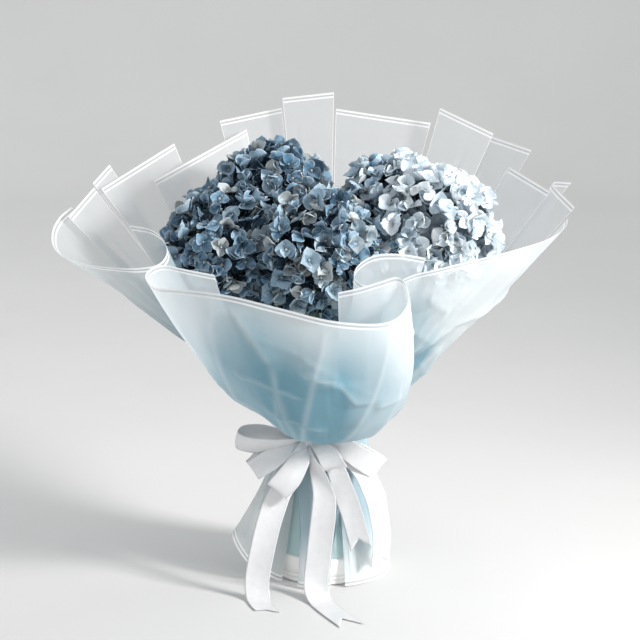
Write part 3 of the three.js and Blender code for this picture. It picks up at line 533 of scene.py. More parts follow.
right_ribs = [
    (96, -76, 342, 44, SIDE_FOLD, 50, 61.5, 6, 6),
    (71, -81, 347, 34, SIDE_FOLD, 40, 61.5, 6, 6),
    (48, -86, 347, 24, SIDE_FOLD, 29, 61.5, 5, 8),
    (33, -91, 340, 16, SIDE_FOLD + 0.2, 22, 61.7, 4, 9),
    (27, -97, 331, 12.5, SIDE_FOLD + 1.2, 19, 62.5, 3, 10),
    (32, -101.5, 324, 14, SIDE - 0.3, 19, 63.4, HEM, 10),
    (46, -103, 320, 21, SIDE, 24, 63.8, HEM, 10),
    (64, -104, 323, 30, SIDE, 33, 64.2, HEM, 9),
    (83, -105, 332, 39, SIDE, 45, 65, HEM, 7),
    (108, -104, 338, 48, SIDE, 56, 66, HEM, 8),
    (142, -92, 344, 60, SIDE, 68, 67, HEM, 10),
    (182, -70, 349, 72, SIDE, 80, 68, HEM, 8),
    (213, -42, 352, 82, SIDE, 92, 68, HEM, 6),
    (235, -14, 358, 90, SIDE, 104, 68, HEM, 5),
    (240, -2, 366, 94, SIDE, 116, 67, HEM, 4.5),
]

outer_film = film_material("film_outer", (0.83, 0.875, 0.895), (0.19, 0.40, 0.50), 0.30, 0.38)
# The left and back sheets are the same film as the outer ones, their whites painted darker and greyer:
# painted shade on the left and behind the blooms.
left_film = film_material("film_left", (0.67, 0.71, 0.72), (0.19, 0.38, 0.47), 0.4, 0.36)
back_film = film_material("film_back", (0.73, 0.75, 0.765), (0.36, 0.54, 0.62), 0.45, 0.4)
inner_film = film_material("film_inner", (0.86, 0.92, 0.92), (0.60, 0.78, 0.80), 0.2, 0.4)

# Each fold: the places it runs between, as a share of the sheet's width and millimetres above the waist,
# then how far it falls off to each side and how high it stands.
front_folds = [
    ((0.366, 209), (0.352, 86), 14, 6.1),
    ((0.392, 205), (0.43, 150), 10, 4.6),
    ((0.43, 150), (0.452, 50), 10, 3.8),
    ((0.5, 185), (0.454, 40), 18, 7.5),
    ((0.436, 128), (0.424, 30), 7, 3.5),
    ((0.38, 137), (0.468, 121), 6, 4.3),
    ((0.468, 148), (0.52, 141), 8, 5.2),
    ((0.52, 141), (0.552, 116), 8, 4.9),
    ((0.585, 112), (0.66, 115), 6, 3.5),
    ((0.41, 100), (0.5, 84), 7, 3.8),
    ((0.62, 190), (0.52, 30), 24, 5.8),
    ((0.30, 190), (0.335, 60), 12, 3.8),
    ((0.66, 150), (0.6, 40), 14, 3.5),
]
film_piece("front_film", "film_front", sheet_grid(front_ribs), outer_film, 5, 24, 3.0, 1.0,
           (125, 205, 22, 60, 0.6), folds=front_folds,
           bands=((0, 0.9, 0.6), (0.34, 0.86, 0.66), (0.43, 1.12, 0.95), (0.52, 1.12, 1), (0.57, 0.9, 0.6),
                  (0.68, 0.8, 0.4), (1, 0.8, 0.4)),
           patches=(((0.475, 122), (0.06, 34), 0.12),))
left_folds = [
    ((0.62, 255), (0.55, 60), 14, 4.0),
    ((0.53, 245), (0.5, 80), 11, 3.4),
    ((0.72, 270), (0.62, 90), 16, 4.0),
    ((0.56, 200), (0.5, 170), 6, 2.2),
]
film_piece("left_film", "film_left", sheet_grid(left_ribs), left_film, 6, 22, 3.0, 0.8,
           (95, 280, 60, 150, 0.35), folds=left_folds)
right_folds = [
    ((0.93, 196), (0.74, 152), 10, 4.6),
    ((0.74, 152), (0.6, 100), 10, 4.6),
    ((0.76, 122), (0.86, 50), 9, 4.2),
    ((0.79, 240), (0.67, 110), 12, 4.0),
    ((0.72, 190), (0.6, 60), 14, 3.6),
    ((0.64, 176), (0.7, 168), 6, 2.4),
    ((0.85, 230), (0.8, 120), 12, 3.0),
    ((0.62, 140), (0.72, 130), 5, 2.0),
]
film_piece("right_film", "film_right", sheet_grid(right_ribs), outer_film, 7, 22, 3.0, 0.9,
           (60, 150, 22, 80, 0.55), folds=right_folds,
           bands=((0, 1.2, 1), (0.6, 1.3, 0.9), (0.7, 1.1, 0.8), (0.85, 1, 0.6), (1, 1, 0.5)),
           # the first patch is painted shade: deeper blue where the right sheet lies in shade beside the
           # front sheet's edge
           patches=(((0.70, 104), (0.034, 34), 1.15), ((0.64, 165), (0.05, 26), 0.18)))

# Each sheet behind the blooms: the places of its rim, its layer, and its turn at the waist and the hem.
back_sheets = [
    ([(-254, 5, 366), (-234, 58, 386)], BACK_B, [-90, -103]),
    ([(-236, 66, 389), (-221, 90, 404)], BACK_C, [-104, -112]),
    ([(-227, 62, 384), (-158, 140, 418)], BACK_B, [-105, -131]),
    ([(-176, 92, 387), (-83, 172, 428)], BACK_A, [-118, -155]),
    ([(-112, 180, 436), (-46, 194, 448)], BACK_B, [-147, -167]),
    ([(-45, 184, 460), (10, 184, 466)], BACK_A, [-166, -184]),
    ([(12, 194, 447), (113, 178, 434)], BACK_B, [-184, -212]),
    ([(122, 164, 452), (176, 130, 430)], BACK_A, [-215, -233]),
    ([(175, 142, 425), (213, 102, 417)], BACK_B, [-232, -245]),
    ([(189, 96, 401), (227, 44, 384)], BACK_A, [-242, -257]),
    ([(248, 46, 393), (231, 56, 390), (248, 12, 374)], BACK_B, [-251.5, -256.5, -266]),
]
BACK_BELLY, BACK_HEM_OUT, BACK_HEM, BACK_COLUMNS = 5, 23.6, 5, 24
BACK_SEED, BACK_CREASES, BACK_DEPTH, BACK_BLUE, BACK_REACH = 20, 7, 1.6, 0.85, (40, 220, 30, 90, 0.9)
for number, (rims, layer, turn) in enumerate(back_sheets, 1):
    ribs = [(*rim, degrees, layer, degrees, layer + BACK_HEM_OUT, BACK_HEM, BACK_BELLY)
            for rim, degrees in zip(rims, turn)]
    film_piece(f"back_film_{number}", f"film_back_{number}", sheet_grid(ribs, BACK_COLUMNS), back_film,
               BACK_SEED + number, BACK_CREASES, BACK_DEPTH, BACK_BLUE, BACK_REACH)

# The inner sheet goes right round, down to just above the foot. Its outline: turn and reach.
INNER_RIM, INNER_COLUMNS, INNER_BELLY = 276, 240, 3
INNER_HEM = 53, 28.5
inner_outline = np.array([
    (0, 75), (25, 64), (50, 66), (75, 98), (100, 117), (130, 96), (150, 84),
    (200, 84), (225, 96), (250, 110), (275, 125), (300, 103), (315, 92), (345, 86), (360, 75),
])


def inner_reach(degrees):
    after = np.searchsorted(inner_outline[:, 0], degrees, side="right")
    (a0, r0), (a1, r1) = inner_outline[after - 1].T, inner_outline[after].T
    return lerp(r0, r1, smoothstep(a0, a1, degrees))


degrees = np.arange(INNER_COLUMNS) * 360 / INNER_COLUMNS
rims = polar(degrees, inner_reach(degrees), INNER_RIM)
inner_ribs = [(*rim, d, INNER, d, *INNER_HEM, INNER_BELLY) for rim, d in zip(rims, degrees)]
film_piece("inner_film", "inner_wrap", film_grid(inner_ribs), inner_film, 3, 30, 1.6, 1,
           (200, 300, 0, 20, 1), slot="inner_film", closed=True)

# ---- the vase, the water and the stems ----
VASE_SIDES = 96
# From the middle of the bottom up the outside, then over the lip and down the inside.
vase_profile = np.array([
    (0, 0), (40, 0), (51, 0), (52.6, 0.5), (53.6, 1.4), (54, 2.4), (54, 3.8), (53.5, 4.2), (52.9, 5),
    (53.5, 5.8), (54, 6.2), (54, 8.2), (53.6, 8.6), (53.2, 9.1), (53.6, 9.6), (54, 10), (54, 16), (54, 23),
    (53.9, 25), (53.4, 26.4), (52.4, 27.2), (50.4, 28.2), (49, 29), (47.6, 35), (45.5, 52), (43.5, 66),
    (41.2, 82), (38, 103), (36, 118), (34.4, 128), (34, 134), (34, 150), (34.2, 155), (34.8, 158),
    (34.7, 159.8), (34, 160.8), (33, 161), (31.8, 160.6), (31, 159.5), (31, 132), (35, 103), (40.5, 66),
    (46, 29), (48, 12), (47, 6.5), (44, 4.3), (30, 4), (0, 4),
], float)


def lathe(name, node, slot, profile, sides, material):
    """A closed turned solid. The profile starts and ends on the axis."""
    turned = polar((np.arange(sides) * 360 / sides)[:, None], profile[1:-1, 0], profile[1:-1, 1])
    rows = len(profile) - 2
    faces = grid_faces(sides, rows, True).tolist()
    bottom, top = sides * rows, sides * rows + 1
    for k in range(sides):
        after = (k + 1) % sides
        faces.append([after * rows, k * rows, bottom])
        faces.append([k * rows + rows - 1, after * rows + rows - 1, top])
    ends = [[0, 0, profile[0, 1]], [0, 0, profile[-1, 1]]]
    mesh_piece(name, node, slot, np.vstack([turned.reshape(-1, 3), ends]), faces, material)


glaze = mottled_material("glaze", (0.92, 0.915, 0.89), (0.95, 0.945, 0.925), 30, 0.16, 0.0002,
                         coat_weight=0.5, coat_roughness=0.08)
lathe("glazed_vase", "vase", "glaze", vase_profile, VASE_SIDES, glaze)


def water_material():
    s = Shader("water")
    ripple = s.bump(s.noise(90, 2), 0.0003, 0.3)
    tint = s.mix(s.noise(20, 2), (0.90, 0.97, 0.97), (0.95, 0.99, 0.99))
    return s.finish(s.principled(base_color=tint, roughness=0.03, ior=1.33, transmission_weight=1.0,
                                 normal=ripple))


water_finish = water_material()
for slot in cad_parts["water"].material_slots:
    slot.material = water_finish

# Each head: its middle, its radius, how flat it is underneath, its seed, and its slot.
CORE_SHARE = 0.74
heads = [
    ("bloom_back_left", (-54, 45, 370), 59, 0.8, 11, "sepals"),
    ("bloom_right", (104, 8, 348), 64, 0.85, 23, "pale_sepals"),
    ("bloom_front_left", (-94, -13, 340), 58, 0.92, 37, "sepals"),
    ("bloom_front", (-11, -28, 334), 65, 0.95, 41, "sepals"),
    ("bloom_back_right", (73, 55.5, 355), 60, 0.7, 59, "pale_sepals"),
]
STEM_RADIUS, STEM_SEAT, STEM_SIDES, STEM_ROWS, SPLINE_STEPS = 3.6, 8, 14, 90, 40
VASE_FLOOR, CLEARANCE = 4, 0.3
# How far out a stem is and how high: on the vase's floor, in its body and neck, and in shares of the way on.
STEM_FOOT, STEM_BODY, STEM_NECK = (26, VASE_FLOOR + CLEARANCE), (20, 90), (18, 158)
STEM_OUT, STEM_UP = 0.62, 0.6
STEM_KNOTS, KNOT_REACH = ((0.62, 0.12), (0.9, 0.1)), 0.02
# A direction that no stem or stalk runs in.
ASIDE = (0, 1, 0.001)


def stem_line(middle, radius, under):
    """The places that a stem runs through, from the vase's floor into the core of its head."""
    x, y, z = middle
    reach = math.hypot(x, y)
    top = z - radius * CORE_SHARE * under + STEM_SEAT
    rise = reach * STEM_OUT, lerp(STEM_NECK[1], top, STEM_UP)
    return [(x / reach * out, y / reach * out, height)
            for out, height in (STEM_FOOT, STEM_BODY, STEM_NECK, rise, (reach, top))]


def between(t, low, high, a, b):
    return lerp(a, b, (t - low) / (high - low))


def centripetal(points, count):
    """Even steps of the centripetal spline through the points, as the stem solids follow."""
    p = np.asarray(points, float)
    p = np.vstack([2 * p[0] - p[1], p, 2 * p[-1] - p[-2]])
    knots = np.concatenate([[0], np.cumsum(steps(p) ** 0.5)])
    line = []
    for i in range(1, len(p) - 2):
        t = np.linspace(knots[i], knots[i + 1], SPLINE_STEPS, endpoint=i == len(p) - 3)[:, None]
        t0, t1, t2, t3 = knots[i - 1:i + 3]
        a1, a2, a3 = (between(t, knots[k], knots[k + 1], p[k], p[k + 1]) for k in (i - 1, i, i + 1))
        b1, b2 = between(t, t0, t2, a1, a2), between(t, t1, t3, a2, a3)
        line.append(between(t, t1, t2, b1, b2))
    line = np.vstack(line)
    run = np.concatenate([[0], np.cumsum(steps(line))])
    even = np.linspace(0, run[-1], count)
    return np.stack([np.interp(even, run, line[:, k]) for k in range(3)], -1)


def tube(line, radii, sides):
    """Points and faces of a closed round tube along a line."""
    along = unit(np.gradient(line, axis=0))
    across = unit(np.cross(along, ASIDE))
    turn = full_turn(sides)[:, None, None]
    ring = across * np.cos(turn) + np.cross(along, across) * np.sin(turn)
    points = line + ring * np.asarray(radii)[:, None]
    return points.reshape(-1, 3), capped_faces(sides, len(line))


bark = mottled_material("stem", (0.20, 0.30, 0.12), (0.33, 0.40, 0.20), 160, 0.5, 0.0006)
run = np.linspace(0, 1, STEM_ROWS)
swell = sum(more * np.exp(-(((run - at) / KNOT_REACH) ** 2)) for at, more in STEM_KNOTS)
for number, (_, middle, radius, under, *_) in enumerate(heads, 1):
    line = centripetal(stem_line(middle, radius, under), STEM_ROWS)
    points, faces = tube(line, STEM_RADIUS * (0.93 + 0.5 * swell), STEM_SIDES)
    mesh_piece(f"flower_stem_{number}", f"stem_{number}", "stem", points, faces, bark)

# ---- the flower heads ----
SEPAL_ROWS, SEPAL_COLUMNS = 8, 7
SEPAL_POINTS = SEPAL_ROWS * SEPAL_COLUMNS
SEPAL_ALONG = np.sin(np.linspace(0, 1, SEPAL_ROWS) * np.pi / 2)
# The gap between two heads, how far down a head its florets go, and how far apart they are.
HEAD_GAP, LOWEST, FLORET_SPACING = 0.25, -0.94, 13.6
# Each layer of florets: its spacing, how far out it is in shares of the radius, the room that it keeps to the
# next head, its sizes, how much it tilts, and whether it is deep in the head.
floret_layers = (
    (FLORET_SPACING, (0.87, 1.04), 2.5, (10.2, 14.2), 0.72, False),
    (FLORET_SPACING * 1.15, (0.76, 0.86), 0, (11.5, 14.5), 0.7, True),
)
# Deep or not: the range and start of the shades (low for the deep ones: painted shade), how far a sepal
# strays, how warm, and how much painted sunlight.
floret_shades = {False: (0.86, 0.14, 0.09, 1, 1), True: (0.14, 0, 0.02, 0.5, 0.3)}
# Where the heads are painted paler towards the right, as painted sunlight, and what height and chance add to
# that.
SUNLIT_SPAN, SUNLIT_RISE, SUNLIT_HEIGHT, SUNLIT_STRAY = (38, 108), 0.1, 350, 16
BUD_SIDES, BUD_ROWS, BUD_OUT, BUD_SIZE = 7, 4, 1.2, (1.1, 2.0)
CORE_SIDES, CORE_ROWS, CORE_LUMPS, CORE_FIT, CORE_GAP = 40, 28, 0.05, 0.97, 0.6
STALK_RADII, STALK_SIDES, STALK_START, STALK_STRAY = (1.0, 0.8, 0.7, 0.75, 1.2), 5, 0.68, 1.2


def press_planes(name):
    """Normals and offsets of the planes in which a head presses against the others."""
    (middle, radius), = [(np.array(h[1], float), h[2]) for h in heads if h[0] == name]
    found = []
    for other, place, size, *_ in heads:
        if other == name:
            continue
        normal = np.array(place, float) - middle
        apart = np.linalg.norm(normal)
        normal /= apart
        reach = (apart**2 + radius**2 - size**2) / (2 * apart)
        found.append((normal, middle @ normal + reach - HEAD_GAP))
    return found


def frames(facing, spin):
    """Turns a floret's own axes so that its Z faces that way."""
    side = unit(np.cross(np.where(np.abs(facing[:, 2:]) > 0.9, (1.0, 0, 0), (0, 0, 1.0)), facing))
    other = np.cross(facing, side)
    c, s = np.cos(spin)[:, None], np.sin(spin)[:, None]
    return np.stack([side * c + other * s, other * c - side * s, facing], -1)


def sepals(count, random, size):
    """count florets of four sepals: points (floret, sepal, column, row, 3), as if each floret faced up."""
    v, s = SEPAL_ALONG, np.linspace(-1, 1, SEPAL_COLUMNS)[:, None]
    half = 0.10 + 0.90 * np.sin(np.pi * v**0.95 * 0.995) ** 0.62
    half[0] = 0.16
    shape = (count, 4, 1, 1)
    length = size[:, None, None, None] * random.uniform(0.88, 1.08, shape)
    width = length * random.uniform(0.50, 0.63, shape)
    cup = random.uniform(-0.15, 0.6, shape)
    fold = random.uniform(0.03, 0.42, shape)
    phase, ruffle = random.uniform(0, 6.28, shape), random.uniform(0.02, 0.07, shape)
    lean = np.radians(random.normal(14, 22, shape)) + np.radians(random.normal(4, 20, (count, 1, 1, 1)))
    x = width * half * s
    y = length * v * (1 - 0.05 * s**2)
    tip = random.uniform(-0.05, 0.09, shape)
    y = y + length * tip * (1 - np.abs(s)) ** 2 * v**4
    z = length * (cup * v**2 * 0.6 - 0.3 * np.maximum(cup, 0) * v**4 + fold * s**2 * half
                  + ruffle * np.sin(3.1 * s + phase) * v**2)
    y, z = swung(y, z, lean)
    layer = np.array([0.0, 0.5, 0.0, 0.5])[:, None, None]
    turn = full_turn(4)[:, None, None] + random.normal(0, 0.10, shape)
    x, y = swung(x, y, turn)
    return np.stack([x, y, z + layer], -1)


def scattered(middle, radius, under, spacing, random, planes, share, room):
    """Spread places over a head, with the way that each one faces."""
    count = round(4 * np.pi * radius**2 / spacing**2 * 1.12)
    k = np.arange(count)
    z = 1 - 2 * (k + 0.5) / count
    angle = k * np.pi * (3 - math.sqrt(5)) + random.uniform(-0.25, 0.25, count)
    z = np.clip(z + random.uniform(-0.6, 0.6, count) / count * 2, -1, 1)
    flat = np.sqrt(1 - z**2)
    facing = np.stack([flat * np.cos(angle), flat * np.sin(angle), z], -1)
    offset = facing.copy()
    offset[:, 2] *= np.where(z < 0, under, 1)
    places = middle + offset * radius * random.uniform(*share, (count, 1))
    free = z > LOWEST
    for normal, limit in planes:
        free &= places @ normal < limit - room
    return places[free], facing[free]


bud_heights = np.linspace(-0.8, 0.85, BUD_ROWS)
bud = rounded(full_turn(BUD_SIDES), bud_heights, np.sqrt(1 - bud_heights**2)).reshape(-1, 3)
bud_faces = capped_faces(BUD_SIDES, BUD_ROWS)

# The first colour of each palette, near black, is painted shade for the florets deep in a head.
sepal_finish = {
    "sepals": sepal_material("sepals_blue", (0.004, 0.014, 0.032), (0.10, 0.225, 0.345), (0.40, 0.54, 0.64),
                             (0.60, 0.59, 0.54), 0.13),
    # The pale palette is partly the right heads' own paler colour, partly painted sunlight.
    "pale_sepals": sepal_material("sepals_pale", (0.008, 0.03, 0.062), (0.19, 0.37, 0.53), (0.54, 0.70, 0.82),
                                  (0.70, 0.69, 0.64), 0.22),
}
centre_finish = mottled_material("floret_centres", (0.44, 0.41, 0.30), (0.24, 0.34, 0.42), 260, 0.5, 0.0003)
shade_finish = mottled_material("bloom_shade", (0.012, 0.022, 0.035), (0.03, 0.05, 0.06), 90, 0.8, 0.001)
stalk_finish = mottled_material("floret_stalks", (0.10, 0.17, 0.16), (0.18, 0.26, 0.22), 200, 0.6, 0.0004)


def repeated(points, faces):
    """The same small shape, as many times as there are rows of points."""
    step = points.shape[1]
    every = [[v + k * step for v in face] for k in range(len(points)) for face in faces]
    return points.reshape(-1, 3), every


def bloom(name, middle, radius, under, seed, slot):
    """A head: two layers of florets, a small bud in the middle of each, the core, and the stalks."""
    random = np.random.default_rng(seed)
    middle, planes = np.array(middle), press_planes(name)
    parts = []
    for spacing, share, room, size, tilt, deep in floret_layers:
        places, facing = scattered(middle, radius, under, spacing, random, planes, share, room)
        count = len(places)
        lean = unit(facing + random.normal(0, tilt, (count, 3)))
        flower = sepals(count, random, random.uniform(*size, count))
        turned = np.einsum("fij,fsabj->fsabi", frames(lean, random.uniform(0, 6.28, count)), flower)
        parts.append((places, lean, turned + places[:, None, None, None, :], deep))
    colours = {"shade": [], "warm": [], "painted_sun": []}
    for places, _, _, deep in parts:
        count = len(places)
        shade_range, shade_start, stray, warmth, sunlit_share = floret_shades[deep]
        each = random.beta(1.1, 1.2, count) * shade_range + shade_start
        colours["warm"].append(np.repeat(random.random(count) * warmth, 4 * SEPAL_POINTS))
        shade = each[:, None] + random.normal(0, stray, (count, 4))
        colours["shade"].append(np.repeat(shade.ravel(), SEPAL_POINTS))
        # painted sunlight: more towards the right and higher up
        x = places[:, 0] + SUNLIT_RISE * (places[:, 2] - SUNLIT_HEIGHT)
        x += random.normal(0, SUNLIT_STRAY, count)
        colours["painted_sun"].append(np.repeat(smoothstep(*SUNLIT_SPAN, x) * sunlit_share, 4 * SEPAL_POINTS))
    points = np.vstack([flower.reshape(-1, 3) for _, _, flower, _ in parts])
    number = len(points) // SEPAL_POINTS
    first = np.arange(number)[:, None, None] * SEPAL_POINTS
    faces = (grid_faces(SEPAL_COLUMNS, SEPAL_ROWS)[None] + first).reshape(-1, 4)
    across = np.repeat(np.linspace(-1, 1, SEPAL_COLUMNS), SEPAL_ROWS)
    attributes = {key: np.concatenate(values) for key, values in colours.items()}
    attributes |= {"across": np.tile(across, number), "along": np.tile(SEPAL_ALONG, SEPAL_COLUMNS * number)}
    mesh_piece(f"{name}_florets", name, slot, points, faces, sepal_finish[slot], attributes)

    places, lean = (np.vstack([part[k] for part in parts]) for k in (0, 1))
    buds = bud[None] * random.uniform(*BUD_SIZE, (len(places), 1, 1))
    buds = places[:, None] + lean[:, None] * BUD_OUT + buds
    mesh_piece(f"{name}_centres", name, slot, *repeated(buds, bud_faces), centre_finish)

    height, turn = np.linspace(-1, 1, CORE_ROWS), full_turn(CORE_SIDES)
    flat = np.sqrt(1 - (height * 0.999) ** 2)
    lump = 1 + CORE_LUMPS * np.sin(5 * turn[:, None] + 3 * height) * flat
    ball = rounded(turn, height, flat, lump, lump) * radius * CORE_SHARE * CORE_FIT
    ball[..., 2] *= np.where(ball[..., 2] < 0, under, 1)
    ball = ball + middle
    for normal, limit in planes:
        over = np.maximum(ball @ normal - (limit - CORE_GAP), 0)
        ball = ball - over[..., None] * normal
    mesh_piece(f"{name}_core", name, "sepals", ball, capped_faces(CORE_SIDES, CORE_ROWS), shade_finish)

    # a stalk from the core to the back of each floret
    inner = middle + (places - middle) * STALK_START
    knee = lerp(inner, places, 0.6) + random.normal(0, STALK_STRAY, places.shape)
    u = np.linspace(0, 1, len(STALK_RADII))
    stalks = [tube(catmull(way, u), STALK_RADII, STALK_SIDES)[0]
              for way in zip(inner, knee, places - lean * 0.4)]
    faces = capped_faces(STALK_SIDES, len(STALK_RADII))
    mesh_piece(f"{name}_stalks", name, "stem", *repeated(np.array(stalks), faces), stalk_finish)


for head in heads:
    bloom(*head)

# ---- the ribbon: band, knot, loops and tails of one satin ribbon ----
RIBBON_WIDTH = W = 25
RIBBON_THICKNESS, RIBBON_ACROSS, STEPS_PER_SPAN = 0.45, 15, 12
GATHERED_BELOW, GATHER, BOW, RIPPLE = 18, 0.16, 0.035, 0.3
BAND_RADIUS, BAND_SIDES, BAND_ROWS, BAND_GATHER = 48.4, 96, 25, 0.8
KNOT, KNOT_HALF = np.array((-16, -50.5, 149.5)), np.array((6.5, 5.5, 7))
KNOT_SIDES, KNOT_ROWS, KNOT_END = 48, 15, 0.985
PINCH = 12
# The ways that the width of its loops and tails runs.
LEVEL, LOW, STEEP = (0.1, -0.6, 0.8), (0.5, -0.68, -0.5), (0.76, -0.2, -0.62)
SHORT, RIGHT, TAIL = (0.93, -0.25, 0.25), (0.5, -0.2, 0.83), (0.95, -0.15, 0.28)
FACING, FLAT = (0.97, -0.2, -0.1), (0.98, -0.2, 0)


def spot(x, y, z):
    """A place measured from the knot."""
    return tuple(KNOT + (x, y, z))


# Each stretch: the notch at its end, then its places, the way that its width runs, and its width there.
stretches = [
    (0, [
     (spot(-4, 0, 1), (0.1, -0.5, 0.85), PINCH), ((-39, -61, 150), LEVEL, 20),
     ((-62, -66, 151), LEVEL, W), ((-78, -66, 153), LEVEL, W),
     ((-87, -60, 156), LEVEL, W), ((-81, -52, 160), LEVEL, W),
     ((-62, -50, 160), LEVEL, W), ((-40, -50, 156), LEVEL, 20),
     (spot(-4, 2, 2), (0.1, -0.5, 0.85), PINCH)]),
    (0, [
     (spot(-4, -3, 1), (0.5, -0.6, -0.6), 13), ((-39, -66, 147), LOW, 20),
     ((-56, -70, 137), LOW, W), ((-71, -69, 127), LOW, W),
     ((-68, -62, 129), LOW, W), ((-54, -59, 142), LOW, 22),
     (spot(-4, 0, 1), (0.5, -0.6, -0.6), PINCH)]),
    (0, [
     (spot(-2, -4, 0), (0.75, -0.35, -0.55), 14), ((-23, -68, 141), STEEP, 20),
     ((-34, -76, 124), STEEP, W), ((-47, -76, 108), STEEP, W),
     ((-43, -70, 109), STEEP, W), ((-33, -64, 128), STEEP, 22),
     (spot(-1, 0, -1), (0.75, -0.3, -0.55), PINCH)]),
    (0, [
     (spot(4, -3, 1), (0.9, -0.35, 0.25), 14), ((-2, -66, 149), SHORT, 22),
     ((7, -73, 135), SHORT, W), ((10, -70, 128), SHORT, W),
     ((6, -65, 133), SHORT, 24), (spot(4, 0, 0), (0.9, -0.35, 0.25), PINCH)]),
    (0, [
     (spot(5, -2, 2), (0.4, -0.2, 0.85), 13), ((20, -66, 147), RIGHT, 22),
     ((36, -63, 136), RIGHT, W), ((54, -53, 123), (0.55, 0, 0.8), W),
     ((49, -48, 126), (0.55, 0, 0.8), W), ((25, -51, 143), RIGHT, 20),
     (spot(5, 1, 1), (0.4, -0.2, 0.85), PINCH)]),
    (11, [
     (spot(-3, -3, -3), FACING, 11), ((-34, -59, 122), FACING, 18), ((-46, -66, 100), FACING, 24),
     ((-55, -75, 76), FACING, W), ((-62, -82, 48), FACING, W), ((-67, -86, 20), FACING, W),
     ((-66, -95, 3.5), FLAT, W), ((-61, -112, 1.2), FLAT, W), ((-56, -124, 1.2), FLAT, W)]),
    (12, [
     (spot(-1, -4, -2), (0.55, -0.8, 0.2), 9), ((-13, -66, 139), (0.6, -0.75, 0.1), PINCH),
     ((-7, -70, 124), (0.85, -0.45, 0), 18), ((-1, -74, 102), FACING, 23), ((-2, -76, 80), FACING, W),
     ((-6, -79, 45), FACING, W), ((-9, -85, 15), FACING, W), ((-5, -97, 2.5), (0.95, 0.3, 0), W),
     ((6, -122, 1.2), (0.93, 0.3, 0), W), ((26, -160, 1.2), (0.93, 0.35, 0), W)]),
    (9, [
     (spot(3, -3, -2), (0.9, -0.2, 0.3), 11), ((8, -62, 130), TAIL, 18),
     ((18, -67, 105), TAIL, 22), ((27, -67, 79), TAIL, 22),
     ((36, -68, 44), TAIL, 22)]),
    (10, [
     (spot(5, -1, -1), (0.6, -0.2, 0.7), 11), ((30, -57, 130), (0.6, 0.1, 0.7), 18),
     ((48, -56, 100), (0.75, 0.4, 0.4), 22), ((54, -54, 75), (0.8, 0.5, 0.2), 22),
     ((57, -53, 48), (0.8, 0.55, 0.1), 22), ((55, -54, 23), (0.8, 0.55, 0.1), 22)]),
]


def ribbon_grid(notch, points, phase):
    """Points (along, across, 3) of a stretch: gathered into small folds where it is pinched."""
    table = np.array([[*place, *way, width] for place, way, width in points])
    u = np.linspace(0, 1, (len(points) - 1) * STEPS_PER_SPAN + 1)
    length = steps(catmull(table, u)[:, :3]).sum()
    rows = []
    for share in np.linspace(0, 1, RIBBON_ACROSS):
        at = catmull(table, u * (1 - notch / length * (1 - abs(2 * share - 1))))
        place, way, width = at[:, :3], unit(at[:, 3:6]), at[:, 6:7]
        face = unit(np.cross(way, unit(np.gradient(place, axis=0), TINY)), TINY)
        gathers = np.sin(2 * np.pi * (2.5 * share + 0.3 * u[:, None]) + phase)
        fold = GATHER * np.maximum(GATHERED_BELOW - width, 0) * gathers
        bow = BOW * width * (1 - (2 * share - 1) ** 2)
        lie = smoothstep(1.5, 8, place[:, 2:])
        ripple = RIPPLE * np.sin(2 * np.pi * 2.2 * u[:, None] + 3 * share + phase) * lie
        rows.append(place + way * width * (share - 0.5) + face * (fold + (bow + ripple) * lie))
    return np.stack(rows, 1)


def ribbon_parts():
    """Every stretch, the band and the knot: its point grid, and whether it closes on itself."""
    for number, (notch, points) in enumerate(stretches, 1):
        yield ribbon_grid(notch, points, number), False
    turn = np.arange(BAND_SIDES) * 360 / BAND_SIDES
    z = np.linspace(TIE_BOTTOM + 1, TIE_TOP - 1, BAND_ROWS)
    gathers = BAND_GATHER * np.sin(z * 2.1 + 0.8 * np.sin(np.radians(turn * 3))[:, None])
    yield polar(turn[:, None], BAND_RADIUS + gathers, z), True
    turn, height = full_turn(KNOT_SIDES), np.linspace(-KNOT_END, KNOT_END, KNOT_ROWS)
    flat = np.sqrt(1 - height**2)
    pleat = 1 + 0.07 * np.cos(turn * 9 + 2 * np.sin(turn))[:, None] * flat
    tall = 1 + 0.04 * np.cos(turn * 5)[:, None]
    yield rounded(turn, height, flat, pleat, tall) * KNOT_HALF + KNOT, True


points, faces, across, start, ribbon_length = [], [], [], 0, 0.0
for grid, closed in ribbon_parts():
    columns, rows = grid.shape[:2]
    points.append(grid.reshape(-1, 3))
    faces += (grid_faces(columns, rows, closed) + start).tolist()
    across.append(np.tile(np.linspace(0, 1, rows), columns))
    start += columns * rows
    middle = grid[:, rows // 2]
    ribbon_length += steps(np.vstack([middle, middle[:1]]) if closed else middle).sum()
across = {"across": np.concatenate(across)}
bow = mesh_piece("satin_bow", "ribbon_bow", "satin", np.vstack(points), faces, satin_material(), across,
                 RIBBON_THICKNESS)

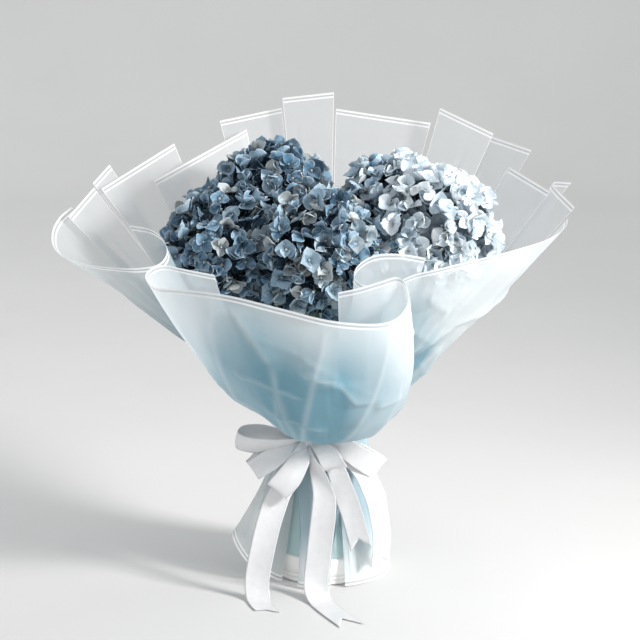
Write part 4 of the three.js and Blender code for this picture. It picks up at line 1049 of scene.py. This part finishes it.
# ---- floor and lights ----
FLOOR_WIDTH, FLOOR_FRONT, FLOOR_BACK, WALL_TOP = 7.0, -3.0, 2.0, 4.0
BEND, BEND_STEPS = 0.7, 25
sweep = [(FLOOR_FRONT, 0)]
for turn in np.linspace(0, math.pi / 2, BEND_STEPS):
    sweep.append((FLOOR_BACK + BEND * math.sin(turn), BEND * (1 - math.cos(turn))))
sweep.append((FLOOR_BACK + BEND, WALL_TOP))
backdrop = [(x, y, z) for x in (-FLOOR_WIDTH / 2, FLOOR_WIDTH / 2) for y, z in sweep]
mesh = bpy.data.meshes.new("floor")
mesh.from_pydata(backdrop, [], grid_faces(2, len(sweep)).tolist())
mesh.shade_smooth()
floor = linked("floor", mesh)
mesh.materials.append(mottled_material("floor", (0.66, 0.66, 0.655), (0.68, 0.68, 0.675), 3, 0.6, 0.0002))


def area_light(name, place, target, size, power, colour, spread=180):
    data = bpy.data.lights.new(name, "AREA")
    data.spread = math.radians(spread)
    data.size, data.energy, data.color = size, power, colour
    lamp = linked(name, data)
    lamp.location = place
    toward = np.array(target) - np.array(place)
    lamp.rotation_euler = (math.acos(-toward[2] / np.linalg.norm(toward)), 0,
                           math.atan2(toward[1], toward[0]) - math.pi / 2)


area_light("key", (1.38, -0.72, 0.98), (0.12, 0, 0.27), 0.35, 5.5, (1.0, 0.985, 0.96), 64)
area_light("fill", (-1.5, -2.0, 1.1), (0, 0, 0.2), 2.0, 4.4, (0.97, 0.985, 1.0))
area_light("top", (0.2, 0.5, 2.3), (0, 0, 0.2), 1.6, 6.6, (1.0, 1.0, 1.0))
area_light("wall", (-0.4, 1.1, 2.6), (-0.4, 2.7, 1.7), 1.6, 15, (1.0, 1.0, 0.99))

WORLD_COLOUR, WORLD_STRENGTH = (0.97, 0.985, 1.0, 1), 0.71
world = bpy.data.worlds.new("world")
world.use_nodes = True
background = world.node_tree.nodes["Background"].inputs
background[0].default_value, background[1].default_value = WORLD_COLOUR, WORLD_STRENGTH
bpy.context.scene.world = world
